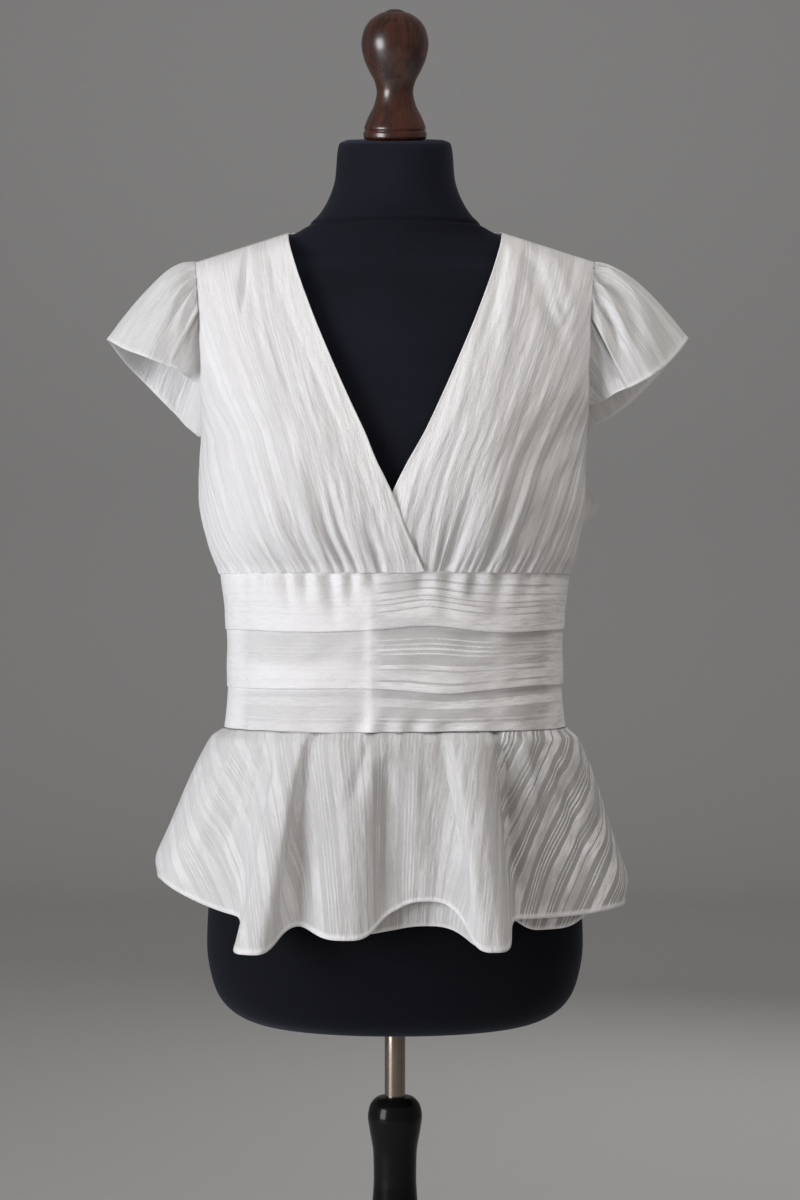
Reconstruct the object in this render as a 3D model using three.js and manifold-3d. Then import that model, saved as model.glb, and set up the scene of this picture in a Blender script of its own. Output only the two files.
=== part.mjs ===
// A peplum top worn by a dress form on a stand with a height slide.
// Millimetres, +Z up. The front faces -Y, and +X is the viewer's right.
// The origin is on the floor, under the middle of the stand's foot.
import * as THREE from "three";
import { mergeVertices } from "three/addons/utils/BufferGeometryUtils.js";
import Module from "manifold-3d";

const wasm = await Module();
wasm.setup();

// Driving sizes
const CLOTH = 1.2; // wall of every cloth piece
const SEAM_GAP = 0.3; // between two pieces that are sewn together
const BAND_TOP = 989; // underbust seam above the floor
const BAND_BOTTOM = 848; // waist seam, where the peplum hangs
const FORM_BOTTOM = 574;
const NECK_TOP = 1387;
const NECK_TILT = THREE.MathUtils.degToRad(12); // the neck block leans forward
const POLE_RADIUS = 9.5;
const RUNNING_GAP = 0.6; // round the pole in its sockets
const POLE_TOP = 632;
const POLE_FOOT = 118;
const POST_TOP = 508;
const FOOT_HEIGHT = 24;
const FOOT_RADIUS = 192;

// Outline of the dress form, from its base to the top of its neck.
// halfWidth, front and back are measured from the pole's axis; squareness is 2 for an ellipse.
const FORM_ROWS = [
  { z: 574, halfWidth: 96, front: 66, back: 64, squareness: 2.1 },
  { z: 578, halfWidth: 126, front: 88, back: 84, squareness: 2.1 },
  { z: 586, halfWidth: 145, front: 101, back: 97, squareness: 2.2 },
  { z: 598, halfWidth: 158.5, front: 110, back: 106, squareness: 2.2 },
  { z: 614, halfWidth: 166.5, front: 116, back: 112, squareness: 2.2 },
  { z: 650, halfWidth: 172.5, front: 120, back: 116, squareness: 2.2 },
  { z: 700, halfWidth: 170, front: 118, back: 116, squareness: 2.2 },
  { z: 760, halfWidth: 155, front: 108, back: 105, squareness: 2.2 },
  { z: 815, halfWidth: 137, front: 97, back: 91, squareness: 2.1 },
  { z: 865, halfWidth: 126, front: 89, back: 81, squareness: 2.1 },
  { z: 920, halfWidth: 127, front: 89, back: 81, squareness: 2.1 },
  { z: 975, halfWidth: 135, front: 95, back: 87, squareness: 2.1 },
  { z: 1020, halfWidth: 147, front: 108, back: 93, squareness: 2.2 },
  { z: 1062, halfWidth: 153, front: 116, back: 96, squareness: 2.3 },
  { z: 1105, halfWidth: 152, front: 112, back: 99, squareness: 2.3 },
  { z: 1150, halfWidth: 152, front: 99, back: 101, squareness: 2.3 },
  { z: 1200, halfWidth: 157, front: 82, back: 97, squareness: 2.2 },
  { z: 1240, halfWidth: 166, front: 63, back: 84, squareness: 2.0 },
  { z: 1262, halfWidth: 171.5, front: 52, back: 72, squareness: 1.7 },
  { z: 1270, halfWidth: 170, front: 47, back: 64, squareness: 1.5 },
  { z: 1277.5, halfWidth: 163, front: 43, back: 58, squareness: 1.4 },
  { z: 1287, halfWidth: 134, front: 42, back: 52, squareness: 1.4 },
  { z: 1296, halfWidth: 106, front: 42, back: 45.5, squareness: 1.5 },
  { z: 1302, halfWidth: 90, front: 43, back: 44.5, squareness: 1.7 },
  { z: 1313, halfWidth: 74.5, front: 46, back: 47, squareness: 2 },
  { z: 1332, halfWidth: 61.5, front: 49, back: 53, squareness: 2 },
  { z: 1352, halfWidth: 55, front: 49, back: 52, squareness: 2 },
  { z: 1376, halfWidth: 53, front: 49, back: 51, squareness: 2 },
  { z: 1384, halfWidth: 51, front: 47, back: 49, squareness: 2 },
  { z: 1387, halfWidth: 45, front: 42, back: 44, squareness: 2 },
];
const NECK_TILT_FROM = 1300; // below this height the form's rings are level
const FORM_TURNS = 32; // points round a ring of the form

// Bodice sections from the underbust seam up to the shoulder seam.
// neckX and neckZ are the neckline edge, sideX, sideY and sideZ the side seam or armhole edge,
// depth is how far the section would reach at the centre, and cup is the bust's extra fullness.
const FRONT_ROWS = [
  { neckX: -26, neckZ: 989, sideX: 161, sideY: 0, sideZ: 989, depth: 109, cup: 2, squareness: 2.3 },
  { neckX: -14, neckZ: 1020, sideX: 169.5, sideY: 0, sideZ: 1020, depth: 121, cup: 8, squareness: 2.3 },
  { neckX: 0, neckZ: 1057, sideX: 176.5, sideY: 0, sideZ: 1060, depth: 126, cup: 12, squareness: 2.3 },
  { neckX: 20, neckZ: 1098, sideX: 177.5, sideY: 0, sideZ: 1105, depth: 122, cup: 11, squareness: 2.3 },
  { neckX: 44.5, neckZ: 1151, sideX: 176, sideY: 32, sideZ: 1150, depth: 108, cup: 5, squareness: 2.3 },
  { neckX: 74, neckZ: 1222, sideX: 177, sideY: 38, sideZ: 1210, depth: 81, cup: 0, squareness: 2.2 },
  { neckX: 89.5, neckZ: 1266, sideX: 180, sideY: 25, sideZ: 1248, depth: 55, cup: 0, squareness: 2 },
  { neckX: 96, neckZ: 1289, sideX: 182, sideY: 11, sideZ: 1266, depth: 34, cup: 0, squareness: 2 },
  { neckX: 98.4, neckZ: 1302, sideX: 183, sideY: 0, sideZ: 1275, depth: 0, cup: 0, squareness: 2 },
];
const BACK_ROWS = [
  { neckX: 0, neckZ: 989, sideX: 161, sideY: 0, sideZ: 989, depth: 102, cup: 0, squareness: 2.3 },
  { neckX: 0, neckZ: 1020, sideX: 169.5, sideY: 0, sideZ: 1020, depth: 106, cup: 0, squareness: 2.3 },
  { neckX: 0, neckZ: 1060, sideX: 176.5, sideY: 0, sideZ: 1060, depth: 108, cup: 0, squareness: 2.3 },
  { neckX: 0, neckZ: 1105, sideX: 177.5, sideY: 0, sideZ: 1105, depth: 110, cup: 0, squareness: 2.3 },
  { neckX: 0, neckZ: 1152, sideX: 176, sideY: 36, sideZ: 1150, depth: 111, cup: 0, squareness: 2.3 },
  { neckX: 0, neckZ: 1215, sideX: 177, sideY: 44, sideZ: 1210, depth: 103, cup: 0, squareness: 2.2 },
  { neckX: 0, neckZ: 1262, sideX: 180, sideY: 30, sideZ: 1248, depth: 84, cup: 0, squareness: 2 },
  { neckX: 42, neckZ: 1266.5, sideX: 181, sideY: 22, sideZ: 1257, depth: 77, cup: 0, squareness: 1.95 },
  { neckX: 68, neckZ: 1284, sideX: 182, sideY: 14, sideZ: 1266, depth: 68, cup: 0, squareness: 1.9 },
  { neckX: 98.4, neckZ: 1302, sideX: 183, sideY: 0, sideZ: 1275, depth: 0, cup: 0, squareness: 2 },
];
const CUP = { x: 84, width: 46 };
const SIDE_BULGE = { z: 1050, height: 22, out: 22 }; // slack behind the wearer's left side seam
const BUST_SHIFT = { out: -2.3, from: 989, full: 1030, fade: 1080, to: 1115 }; // sits a little to one side
const LAPPED_LIFT = 3; // the wearer's right front lies this far out over the left one
const LAP_WIDTH = 70; // how far from the centre that lift fades out
const FRONT_LEVELS = [0, 0.22, 0.55, 1, 1.6, 2.4, 3.3, 4.2, 5, 6, 7, 7.5, 8];
const BACK_LEVELS = [0, 1, 2, 3, 4, 5, 6, 6.5, 7, 8, 8.5, 9];

// Gathers sewn into the underbust seam. at is the place along the panel from the
// neckline edge (0) to the side seam (1), all other columns are millimetres.
const RIGHT_GATHERS = [
  { at: 0.2, width: 7, height: 2.6, rise: 70 },
  { at: 0.29, width: 7, height: 4, rise: 130 },
  { at: 0.37, width: 6.5, height: 4.4, rise: 190 },
  { at: 0.45, width: 7, height: 4, rise: 150 },
  { at: 0.53, width: 6.5, height: 4.6, rise: 180 },
  { at: 0.61, width: 7, height: 3.8, rise: 120 },
  { at: 0.69, width: 6.5, height: 4.2, rise: 140 },
  { at: 0.77, width: 7, height: 3.6, rise: 90 },
  { at: 0.85, width: 7, height: 3, rise: 60 },
];
const LEFT_GATHERS = [
  { at: 0.27, width: 6.5, height: 3.6, rise: 110 },
  { at: 0.35, width: 7, height: 4.2, rise: 160 },
  { at: 0.43, width: 6.5, height: 4.6, rise: 210 },
  { at: 0.5, width: 6.5, height: 4, rise: 120 },
  { at: 0.58, width: 7, height: 4.6, rise: 190 },
  { at: 0.66, width: 6.5, height: 4, rise: 130 },
  { at: 0.74, width: 7, height: 4.2, rise: 140 },
  { at: 0.82, width: 6.5, height: 3, rise: 70 },
];
const GATHER_SPREAD = 150; // length of a panel's lower edge that the gathers are spaced on

// Cap sleeve hem from its front end, over the top, to its back end.
const SLEEVE_HEM = [
  { x: 183, y: -33, rightZ: 1163, leftZ: 1141 },
  { x: 196, y: -58, rightZ: 1171, leftZ: 1150 },
  { x: 222, y: -62, rightZ: 1180, leftZ: 1162 },
  { x: 248, y: -38, rightZ: 1193, leftZ: 1184 },
  { x: 264, y: 0, rightZ: 1202, leftZ: 1203 },
  { x: 252, y: 38, rightZ: 1185, leftZ: 1186 },
  { x: 228, y: 62, rightZ: 1160, leftZ: 1160 },
  { x: 202, y: 62, rightZ: 1134, leftZ: 1138 },
  { x: 184, y: 38, rightZ: 1117, leftZ: 1126 },
];
const SLEEVE_PUFF = { right: 12, left: 12 }; // height of the gathered head over a straight line
const SLEEVE_REACH = { right: 0, left: 5 }; // the left hem stands a little further out
const SLEEVE_ENDS = { right: { front: 4.15, back: 3.25 }, left: { front: 3.8, back: 3.4 } };
const SLEEVE_GATHERS = { count: 10, height: 2.4, from: 0.26, to: 0.78 };

// Waistband: three tiers, each folded down over the next one.
const BAND_ROWS = [
  { z: 989, halfWidth: 160.5, front: 109, back: 102, squareness: 2.3 },
  { z: 937, halfWidth: 154, front: 110, back: 103, squareness: 2.3 },
  { z: 885, halfWidth: 153, front: 110, back: 104, squareness: 2.3 },
  { z: 848, halfWidth: 156, front: 111, back: 105, squareness: 2.3 },
];
const BAND_TIERS = [
  { top: 989, bottom: 937.5 },
  { top: 937.5, bottom: 885.5 },
  { top: 885.5, bottom: 848 },
];
const TUCK_LIP = 3; // how far a tier's folded edge stands out over the next tier
const BAND_EDGE_OUT = 1.1;
const BAND_WAVE = { height: 3, length: 215, shift: 40 }; // sway of the tucks across the front

// Peplum: waves at the hem, each with its place round the body from the viewer's left side (0)
// over the centre front (0.25), the right side (0.5) and the centre back (0.75).
// reach is how far it stands out of the hem's base line, and length is the cloth's drop there.
const PEPLUM_WAVES = [
  { at: 0.035, reach: 48, width: 0.066, length: 152 },
  { at: 0.164, reach: 58, width: 0.019, length: 205 },
  { at: 0.226, reach: 30, width: 0.021, length: 184 },
  { at: 0.305, reach: 56, width: 0.018, length: 201 },
  { at: 0.462, reach: 42, width: 0.072, length: 170 },
  { at: 0.59, reach: 50, width: 0.02, length: 198 },
  { at: 0.655, reach: 34, width: 0.024, length: 184 },
  { at: 0.72, reach: 44, width: 0.022, length: 190 },
  { at: 0.79, reach: 38, width: 0.024, length: 184 },
  { at: 0.86, reach: 50, width: 0.02, length: 198 },
  { at: 0.925, reach: 30, width: 0.022, length: 180 },
];
const PEPLUM_HEM = { halfWidth: 181, front: 141, back: 140, squareness: 2.4 };
const PEPLUM_LENGTH = 165; // cloth from the waist seam to the hem between the waves
const PEPLUM_PUFF = 6; // the cloth springs out this far just under the waist seam
const PEPLUM_LEVELS = [0, 0.06, 0.25, 0.55, 1];
const LAYER_GAP = { seam: 2, hem: 6.5 }; // the under layer hangs this far inside the outer one
// The under layer is longer than the outer one where it shows below the hem.
const UNDER_SHOWS = [
  { at: 0.264, width: 0.03, extra: 14 },
  { at: 0.372, width: 0.03, extra: 14 },
];

// Turned profiles, radius by height
const FINIAL_HEIGHT = 117;
const FINIAL_PROFILE = [
  { r: 27.5, z: 0 },
  { r: 29.2, z: 3.5 },
  { r: 28.6, z: 11 },
  { r: 24.5, z: 21 },
  { r: 19, z: 32 },
  { r: 16.8, z: 43 },
  { r: 18.6, z: 52 },
  { r: 23.8, z: 62 },
  { r: 28.8, z: 74 },
  { r: 30.8, z: 86 },
  { r: 28.6, z: 98 },
  { r: 22, z: 108 },
  { r: 11.5, z: 114 },
  { r: 4.5, z: 115.5 },
];
const POST_PROFILE = [
  { r: 30, z: FOOT_HEIGHT + SEAM_GAP },
  { r: 31, z: 40 },
  { r: 25, z: 70 },
  { r: 20, z: 130 },
  { r: 21, z: 200 },
  { r: 26.5, z: 275 },
  { r: 27.5, z: 320 },
  { r: 23.5, z: 380 },
  { r: 19.6, z: 432 },
  { r: 20, z: 455 },
  { r: 23.6, z: 478 },
  { r: 25, z: 489 },
  { r: 22.8, z: 500 },
  { r: 16, z: POST_TOP },
];

// Number helpers
const signedPower = (value, power) => Math.sign(value) * Math.abs(value) ** power;
const smooth = (from, to, value) => THREE.MathUtils.smoothstep(value, from, to);
const mix = THREE.MathUtils.lerp;

// Reads a table between its rows, with no overshoot: place 1.5 is half way from row 1 to row 2.
function rowAt(rows, place) {
  const last = rows.length - 1;
  const low = Math.min(Math.floor(place), last - 1);
  const t = place - low;
  const slope = (key, i) => {
    if (i <= 0 || i >= last) return i <= 0 ? rows[1][key] - rows[0][key] : rows[last][key] - rows[last - 1][key];
    const before = rows[i][key] - rows[i - 1][key];
    const after = rows[i + 1][key] - rows[i][key];
    return before * after <= 0 ? 0 : (2 * before * after) / (before + after);
  };
  const read = {};
  for (const key of Object.keys(rows[0])) {
    const [a, b] = [rows[low][key], rows[low + 1][key]];
    const [da, db] = [slope(key, low), slope(key, low + 1)];
    const c = 3 * (b - a) - 2 * da - db;
    const d = da + db - 2 * (b - a);
    read[key] = a + t * (da + t * (c + t * d));
  }
  return read;
}

// Finds the place in a table of sections for a height.
function placeOf(rows, z) {
  const rising = rows[1].z > rows[0].z;
  let i = 0;
  while (i < rows.length - 2 && (rising ? rows[i + 1].z < z : rows[i + 1].z > z)) i++;
  return i + (z - rows[i].z) / (rows[i + 1].z - rows[i].z);
}

// A point on a rounded section. turn runs from the viewer's left side (0) over the front (0.25).
function ringPoint(section, turn, out = 0) {
  const angle = 2 * Math.PI * turn;
  const power = 2 / section.squareness;
  const depth = Math.sin(angle) > 0 ? section.front : section.back;
  const x = -(section.halfWidth + out) * signedPower(Math.cos(angle), power);
  const y = -(depth + out) * signedPower(Math.sin(angle), power);
  return new THREE.Vector3(x, y, section.z ?? 0);
}

// The outward direction of a rounded section, level.
function ringNormal(section, turn) {
  const step = 0.004;
  const along = ringPoint(section, turn + step).sub(ringPoint(section, turn - step));
  return new THREE.Vector3(-along.y, along.x, 0).normalize().negate();
}

// Makes a wall from sheets of points: the points are its outer side, and the inner side lies
// one thickness in. Sheets that share points are joined. Where a point has a seam, the rim
// there stays in the seam's plane, so that two sewn pieces face each other.
function clothWall(sheets, thickness, inside) {
  const points = [];
  const seams = [];
  const known = new Map();
  const indexOf = (p) => {
    const key = [p.x, p.y, p.z].map((v) => v.toFixed(3)).join(" ");
    if (!known.has(key)) {
      known.set(key, points.length);
      points.push(p);
      seams.push(p.seam ?? "");
    }
    return known.get(key);
  };
  let faces = [];
  for (const sheet of sheets) {
    const ids = sheet.map((row) => row.map(indexOf));
    for (let i = 0; i + 1 < ids.length; i++)
      for (let j = 0; j + 1 < ids[i].length; j++) {
        const [a, b, c, d] = [ids[i][j], ids[i][j + 1], ids[i + 1][j + 1], ids[i + 1][j]];
        const flip = sheet.mirrored;
        for (const face of [[a, b, c], [a, c, d]])
          if (new Set(face).size === 3) faces.push(flip ? face.reverse() : face);
      }
  }
  const normals = points.map(() => new THREE.Vector3());
  const side = new THREE.Vector3();
  for (const [a, b, c] of faces) {
    side.subVectors(points[b], points[a]).cross(new THREE.Vector3().subVectors(points[c], points[a]));
    for (const k of [a, b, c]) normals[k].add(side);
  }
  let outward = 0;
  points.forEach((p, k) => (outward += normals[k].dot(new THREE.Vector3().subVectors(p, inside(p)))));
  if (outward < 0) {
    faces = faces.map((face) => [...face].reverse());
    normals.forEach((n) => n.negate());
  }
  const inner = points.map((p, k) => {
    const n = normals[k];
    for (const axis of seams[k]) n[axis] = 0;
    return p.clone().addScaledVector(n.normalize(), -thickness);
  });
  const count = points.length;
  const edges = new Map();
  for (const [a, b, c] of faces)
    for (const [p, q] of [[a, b], [b, c], [c, a]]) {
      if (edges.has(`${q} ${p}`)) edges.delete(`${q} ${p}`);
      else edges.set(`${p} ${q}`, [p, q]);
    }
  const index = [];
  for (const [a, b, c] of faces) index.push(a, b, c, count + a, count + c, count + b);
  for (const [p, q] of edges.values()) index.push(p, count + p, q, q, count + p, count + q);
  const geometry = new THREE.BufferGeometry().setFromPoints([...points, ...inner]);
  return geometry.setIndex(index);
}

const axisAt = (p) => new THREE.Vector3(0, 0, p.z);

// Joins closed rings of points into one solid, with a flat cap at each end.
function loftRings(rings) {
  const turns = rings[0].length;
  const points = rings.flat();
  const index = [];
  for (let i = 0; i + 1 < rings.length; i++)
    for (let j = 0; j < turns; j++) {
      const next = (j + 1) % turns;
      const [a, b] = [i * turns + j, i * turns + next];
      index.push(a, b, b + turns, a, b + turns, a + turns);
    }
  const middle = (ring) => ring.reduce((sum, p) => sum.add(p), new THREE.Vector3()).divideScalar(turns);
  points.push(middle(rings[0]), middle(rings[rings.length - 1]));
  const top = (rings.length - 1) * turns;
  for (let j = 0; j < turns; j++) {
    const next = (j + 1) % turns;
    index.push(points.length - 2, next, j, points.length - 1, top + j, top + next);
  }
  return new THREE.BufferGeometry().setFromPoints(points).setIndex(index);
}

// Boolean helpers
function toSolid(geometry) {
  const bare = geometry.clone();
  bare.deleteAttribute("normal");
  bare.deleteAttribute("uv");
  const merged = mergeVertices(bare, 1e-3);
  const mesh = { numProp: 3, vertProperties: merged.attributes.position.array };
  return new wasm.Manifold(new wasm.Mesh({ ...mesh, triVerts: new Uint32Array(merged.index.array) }));
}

function fromSolid(solid) {
  const mesh = solid.getMesh();
  const count = mesh.vertProperties.length / mesh.numProp;
  const positions = new Float32Array(count * 3);
  for (let i = 0; i < count; i++)
    positions.set(mesh.vertProperties.subarray(i * mesh.numProp, i * mesh.numProp + 3), 3 * i);
  const geometry = new THREE.BufferGeometry();
  geometry.setAttribute("position", new THREE.BufferAttribute(positions, 3));
  return geometry.setIndex(new THREE.BufferAttribute(mesh.triVerts, 1));
}

// A turned solid that stands on +Z, closed on its axis.
function turned(profile, sides, topZ) {
  const outline = [new THREE.Vector2(0, profile[0].z)];
  for (const { r, z } of profile) outline.push(new THREE.Vector2(r, z));
  outline.push(new THREE.Vector2(0, topZ));
  return new THREE.LatheGeometry(outline, sides).rotateX(Math.PI / 2);
}

// A round bar along Z.
function bar(radius, from, to, sides) {
  return new THREE.CylinderGeometry(radius, radius, to - from, sides)
    .rotateX(Math.PI / 2)
    .translate(0, 0, (from + to) / 2);
}

// Materials
const paint = (color, roughness, metalness = 0) => new THREE.MeshStandardMaterial({ color, roughness, metalness });
const whiteCloth = paint(0xe6e6e6, 0.85);
const sheerCloth = paint(0xd9dade, 0.85);
const blackJersey = paint(0x15161b, 0.9);
const brownWood = paint(0x4c2f26, 0.35);
const steel = paint(0x8a8178, 0.3, 1);
const blackLacquer = paint(0x0e0e10, 0.25);

const group = new THREE.Group();
function place(name, geometry, material) {
  const mesh = new THREE.Mesh(geometry, material);
  mesh.name = name;
  group.add(mesh);
  return mesh;
}

// Dress form
function formRing(row) {
  const lean = row.z > NECK_TILT_FROM ? Math.tan(NECK_TILT) * smooth(NECK_TILT_FROM, NECK_TOP - 30, row.z) : 0;
  return Array.from({ length: FORM_TURNS }, (_, j) => {
    const p = ringPoint(row, j / FORM_TURNS);
    p.z += p.y * lean;
    return p;
  });
}

function formBody() {
  const body = toSolid(loftRings(FORM_ROWS.map(formRing)));
  const socket = toSolid(bar(POLE_RADIUS + RUNNING_GAP, FORM_BOTTOM - 10, POLE_TOP + RUNNING_GAP, 24));
  return fromSolid(body.subtract(socket));
}

function finial() {
  const mesh = place("finial", turned(FINIAL_PROFILE, 18, FINIAL_HEIGHT), brownWood);
  mesh.rotation.x = NECK_TILT;
  const lift = new THREE.Vector3(0, -Math.sin(NECK_TILT), Math.cos(NECK_TILT)).multiplyScalar(SEAM_GAP);
  mesh.position.set(0, 1, NECK_TOP + Math.tan(NECK_TILT)).add(lift);
}

// Stand
function post() {
  const turnedPost = toSolid(turned(POST_PROFILE, 20, POST_TOP));
  const bore = toSolid(bar(POLE_RADIUS + RUNNING_GAP, 0, POST_TOP + 10, 24));
  return fromSolid(turnedPost.subtract(bore));
}

function foot() {
  const outline = [
    { r: FOOT_RADIUS - 3, z: 0 },
    { r: FOOT_RADIUS, z: 3 },
    { r: FOOT_RADIUS, z: 10 },
    { r: FOOT_RADIUS - 6, z: 15 },
    { r: 60, z: FOOT_HEIGHT - 3 },
    { r: 40, z: FOOT_HEIGHT },
  ];
  return turned(outline, 36, FOOT_HEIGHT);
}

// Bodice
function bodicePoint(rows, front, level, across) {
  const row = rowAt(rows, level);
  const start = Math.asin(signedPower(row.neckX / row.sideX, row.squareness / 2));
  const angle = mix(start, Math.PI / 2, across);
  const power = 2 / row.squareness;
  const x = row.sideX * signedPower(Math.sin(angle), power);
  const bust = row.cup * Math.exp(-(((x - CUP.x) / CUP.width) ** 2));
  const y = row.sideY + (row.depth - row.sideY) * Math.max(Math.cos(angle), 0) ** power + bust;
  const z = mix(row.neckZ, row.sideZ, (x - row.neckX) / (row.sideX - row.neckX));
  return new THREE.Vector3(x, front ? -y : y, z);
}

// How far the gathers stand out at a place on a front panel.
function gatherHeight(gathers, across, above) {
  const tucked = mix(0.2, 1, smooth(0, 12, above));
  return gathers.reduce((sum, fold) => {
    const away = ((across - fold.at) * GATHER_SPREAD) / fold.width;
    return sum + fold.height * Math.exp(-away * away) * tucked * (1 - smooth(0, fold.rise, above));
  }, 0);
}

function bustShift(z) {
  const { out, from, full, fade, to } = BUST_SHIFT;
  return out * smooth(from, full, z) * (1 - smooth(fade, to, z));
}

function seamOf(level, last, across) {
  let seam = "";
  if (level === 0) seam += "z";
  if (level === last) seam += "y";
  if (across === 1) seam += level < 3 ? "y" : "x";
  return seam;
}

function frontPanel(side, gathers, lift) {
  const columns = 40;
  const last = FRONT_ROWS.length - 1;
  const sheet = FRONT_LEVELS.map((level) =>
    Array.from({ length: columns + 1 }, (_, j) => {
      const across = j / columns;
      const p = bodicePoint(FRONT_ROWS, true, level, across);
      const near = bodicePoint(FRONT_ROWS, true, level, Math.min(across + 0.02, 1));
      const out = new THREE.Vector3(near.y - p.y, p.x - near.x, 0).normalize();
      if (across === 1) out.set(1, 0, 0);
      const lap = lift * (1 - smooth(0, LAP_WIDTH, p.x)) * (1 - smooth(4, 6, level));
      p.addScaledVector(out, gatherHeight(gathers, across, p.z - BAND_TOP) + lap);
      if (level === 0) p.z += SEAM_GAP;
      p.y -= SEAM_GAP / 2;
      p.x = side * p.x + bustShift(p.z);
      p.seam = seamOf(level, last, across);
      return p;
    }),
  );
  return clothWall([sheet], CLOTH, axisAt);
}

function backPanel() {
  const columns = 10;
  const last = BACK_ROWS.length - 1;
  const half = (side) => {
    const sheet = BACK_LEVELS.map((level) =>
      Array.from({ length: columns + 1 }, (_, j) => {
        const p = bodicePoint(BACK_ROWS, false, level, j / columns);
        const behind = Math.sin(Math.PI * THREE.MathUtils.clamp((j / columns - 0.6) / 0.4, 0, 1));
        const slack = SIDE_BULGE.out * behind * Math.exp(-(((p.z - SIDE_BULGE.z) / SIDE_BULGE.height) ** 2));
        if (side > 0) p.x += slack;
        if (level === 0) p.z += SEAM_GAP;
        p.y += SEAM_GAP / 2;
        p.x = (side * p.x || 0) + bustShift(p.z);
        p.seam = seamOf(level, last, j / columns);
        return p;
      }),
    );
    sheet.mirrored = side < 0;
    return sheet;
  };
  return clothWall([half(1), half(-1)], CLOTH, axisAt);
}

// Sleeves
function armholePoint(ends, around) {
  const front = around <= 0.5;
  const rows = front ? FRONT_ROWS : BACK_ROWS;
  const share = front ? around * 2 : 2 - around * 2;
  const level = mix(front ? ends.front : ends.back, rows.length - 1, share);
  return bodicePoint(rows, front, level, 1);
}

function sleevePoint(sideName, around, out) {
  const ends = SLEEVE_ENDS[sideName];
  const hem = rowAt(SLEEVE_HEM, around * (SLEEVE_HEM.length - 1));
  const edge = armholePoint(ends, around);
  edge.x += 0.5;
  const reach = SLEEVE_REACH[sideName] * smooth(0, 0.2, around) * (1 - smooth(0.8, 1, around));
  const tip = new THREE.Vector3(hem.x + reach, hem.y, hem[`${sideName}Z`]);
  const p = edge.clone().lerp(tip, out);
  const run = armholePoint(ends, Math.min(around + 0.03, 1)).sub(armholePoint(ends, Math.max(around - 0.03, 0)));
  const away = run.cross(tip.clone().sub(edge)).normalize();
  if (away.x + away.z < 0) away.negate();
  const cap = Math.sin(Math.PI * around);
  const { count, height, from, to } = SLEEVE_GATHERS;
  const gathered = smooth(from - 0.08, from, around) * (1 - smooth(to, to + 0.08, around));
  const ripple = height * gathered * Math.cos(2 * Math.PI * count * around) * smooth(0, 0.12, out) * (1 - smooth(0.12, 0.75, out));
  const puff = SLEEVE_PUFF[sideName] * cap * Math.sin(Math.PI * Math.min(out, 1) ** 0.72);
  return p.addScaledVector(away, puff + ripple);
}

function sleeve(sideName) {
  const side = sideName === "left" ? 1 : -1;
  const columns = 36;
  const steps = [0, 0.09, 0.22, 0.42, 0.7, 1];
  const sheet = steps.map((out) =>
    Array.from({ length: columns + 1 }, (_, j) => {
      const p = sleevePoint(sideName, j / columns, out);
      p.x *= side;
      if (out === 0) p.seam = "x";
      return p;
    }),
  );
  return clothWall([sheet], CLOTH, (p) => new THREE.Vector3(side * 183, 0, p.z - 60));
}

// Waistband
function bandSheet(from, to, columns) {
  const sway = (p) => {
    const middle = p.y < 0 ? 1 - smooth(100, 150, Math.abs(p.x)) : 0;
    return middle * BAND_WAVE.height * Math.cos((2 * Math.PI * (p.x - BAND_WAVE.shift)) / BAND_WAVE.length);
  };
  const profile = [];
  BAND_TIERS.forEach(({ top, bottom }, k) => {
    const lip = k < BAND_TIERS.length - 1 ? TUCK_LIP : TUCK_LIP / 2;
    profile.push({ z: top, out: 0, sways: k > 0 });
    profile.push({ z: mix(top, bottom, 0.5), out: lip * 0.55, sways: true });
    profile.push({ z: bottom + 1.4, out: lip, sways: k < BAND_TIERS.length - 1 });
    if (k < BAND_TIERS.length - 1) profile.push({ z: bottom, out: lip - 0.7, sways: true });
  });
  profile.push({ z: BAND_BOTTOM, out: BAND_EDGE_OUT, sways: false });
  return profile.map(({ z, out, sways }, i) =>
    Array.from({ length: columns + 1 }, (_, j) => {
      const section = rowAt(BAND_ROWS, placeOf(BAND_ROWS, z));
      const p = ringPoint({ ...section, z }, mix(from, to, j / columns), out);
      if (sways) p.z += sway(p);
      p.seam = (i === 0 || i === profile.length - 1 ? "z" : "") + (j === 0 || j === columns ? "y" : "");
      if (j === 0 || j === columns) p.y += from < 0.25 ? -SEAM_GAP / 2 : SEAM_GAP / 2;
      return p;
    }),
  );
}

// Peplum
function wavesAt(turn) {
  let reach = 0;
  let length = PEPLUM_LENGTH;
  for (const wave of PEPLUM_WAVES) {
    const away = Math.abs(((turn - wave.at + 1.5) % 1) - 0.5) / wave.width;
    const share = Math.exp(-(away ** 3.2));
    reach += wave.reach * share;
    length += (wave.length - PEPLUM_LENGTH) * share;
  }
  return { reach, length };
}

function outerPeplumPoint(turn, down) {
  const waist = ringPoint(rowAt(BAND_ROWS, BAND_ROWS.length - 1), turn, BAND_EDGE_OUT);
  const hem = ringPoint(PEPLUM_HEM, turn);
  const { reach, length } = wavesAt(turn);
  const run = Math.hypot(hem.x - waist.x, hem.y - waist.y) + reach;
  const drop = Math.sqrt(length ** 2 - run ** 2);
  const puff = PEPLUM_PUFF * smooth(0, 0.06, down) * (1 - smooth(0.1, 0.8, down));
  const p = waist.lerp(hem, down).addScaledVector(ringNormal(PEPLUM_HEM, turn), reach * down + puff);
  p.z = BAND_BOTTOM - SEAM_GAP - drop * down;
  return p;
}

// The under layer is made from the outer layer's points, moved in.
function peplumPoint(turn, down, layer, extra) {
  const p = outerPeplumPoint(turn, down);
  const along = outerPeplumPoint(turn + 0.003, down).sub(outerPeplumPoint(turn - 0.003, down));
  const inward = new THREE.Vector3(-along.y, along.x, 0).normalize();
  p.addScaledVector(inward, mix(layer.seam, layer.hem, down));
  p.z -= extra * down;
  return p;
}

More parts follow.
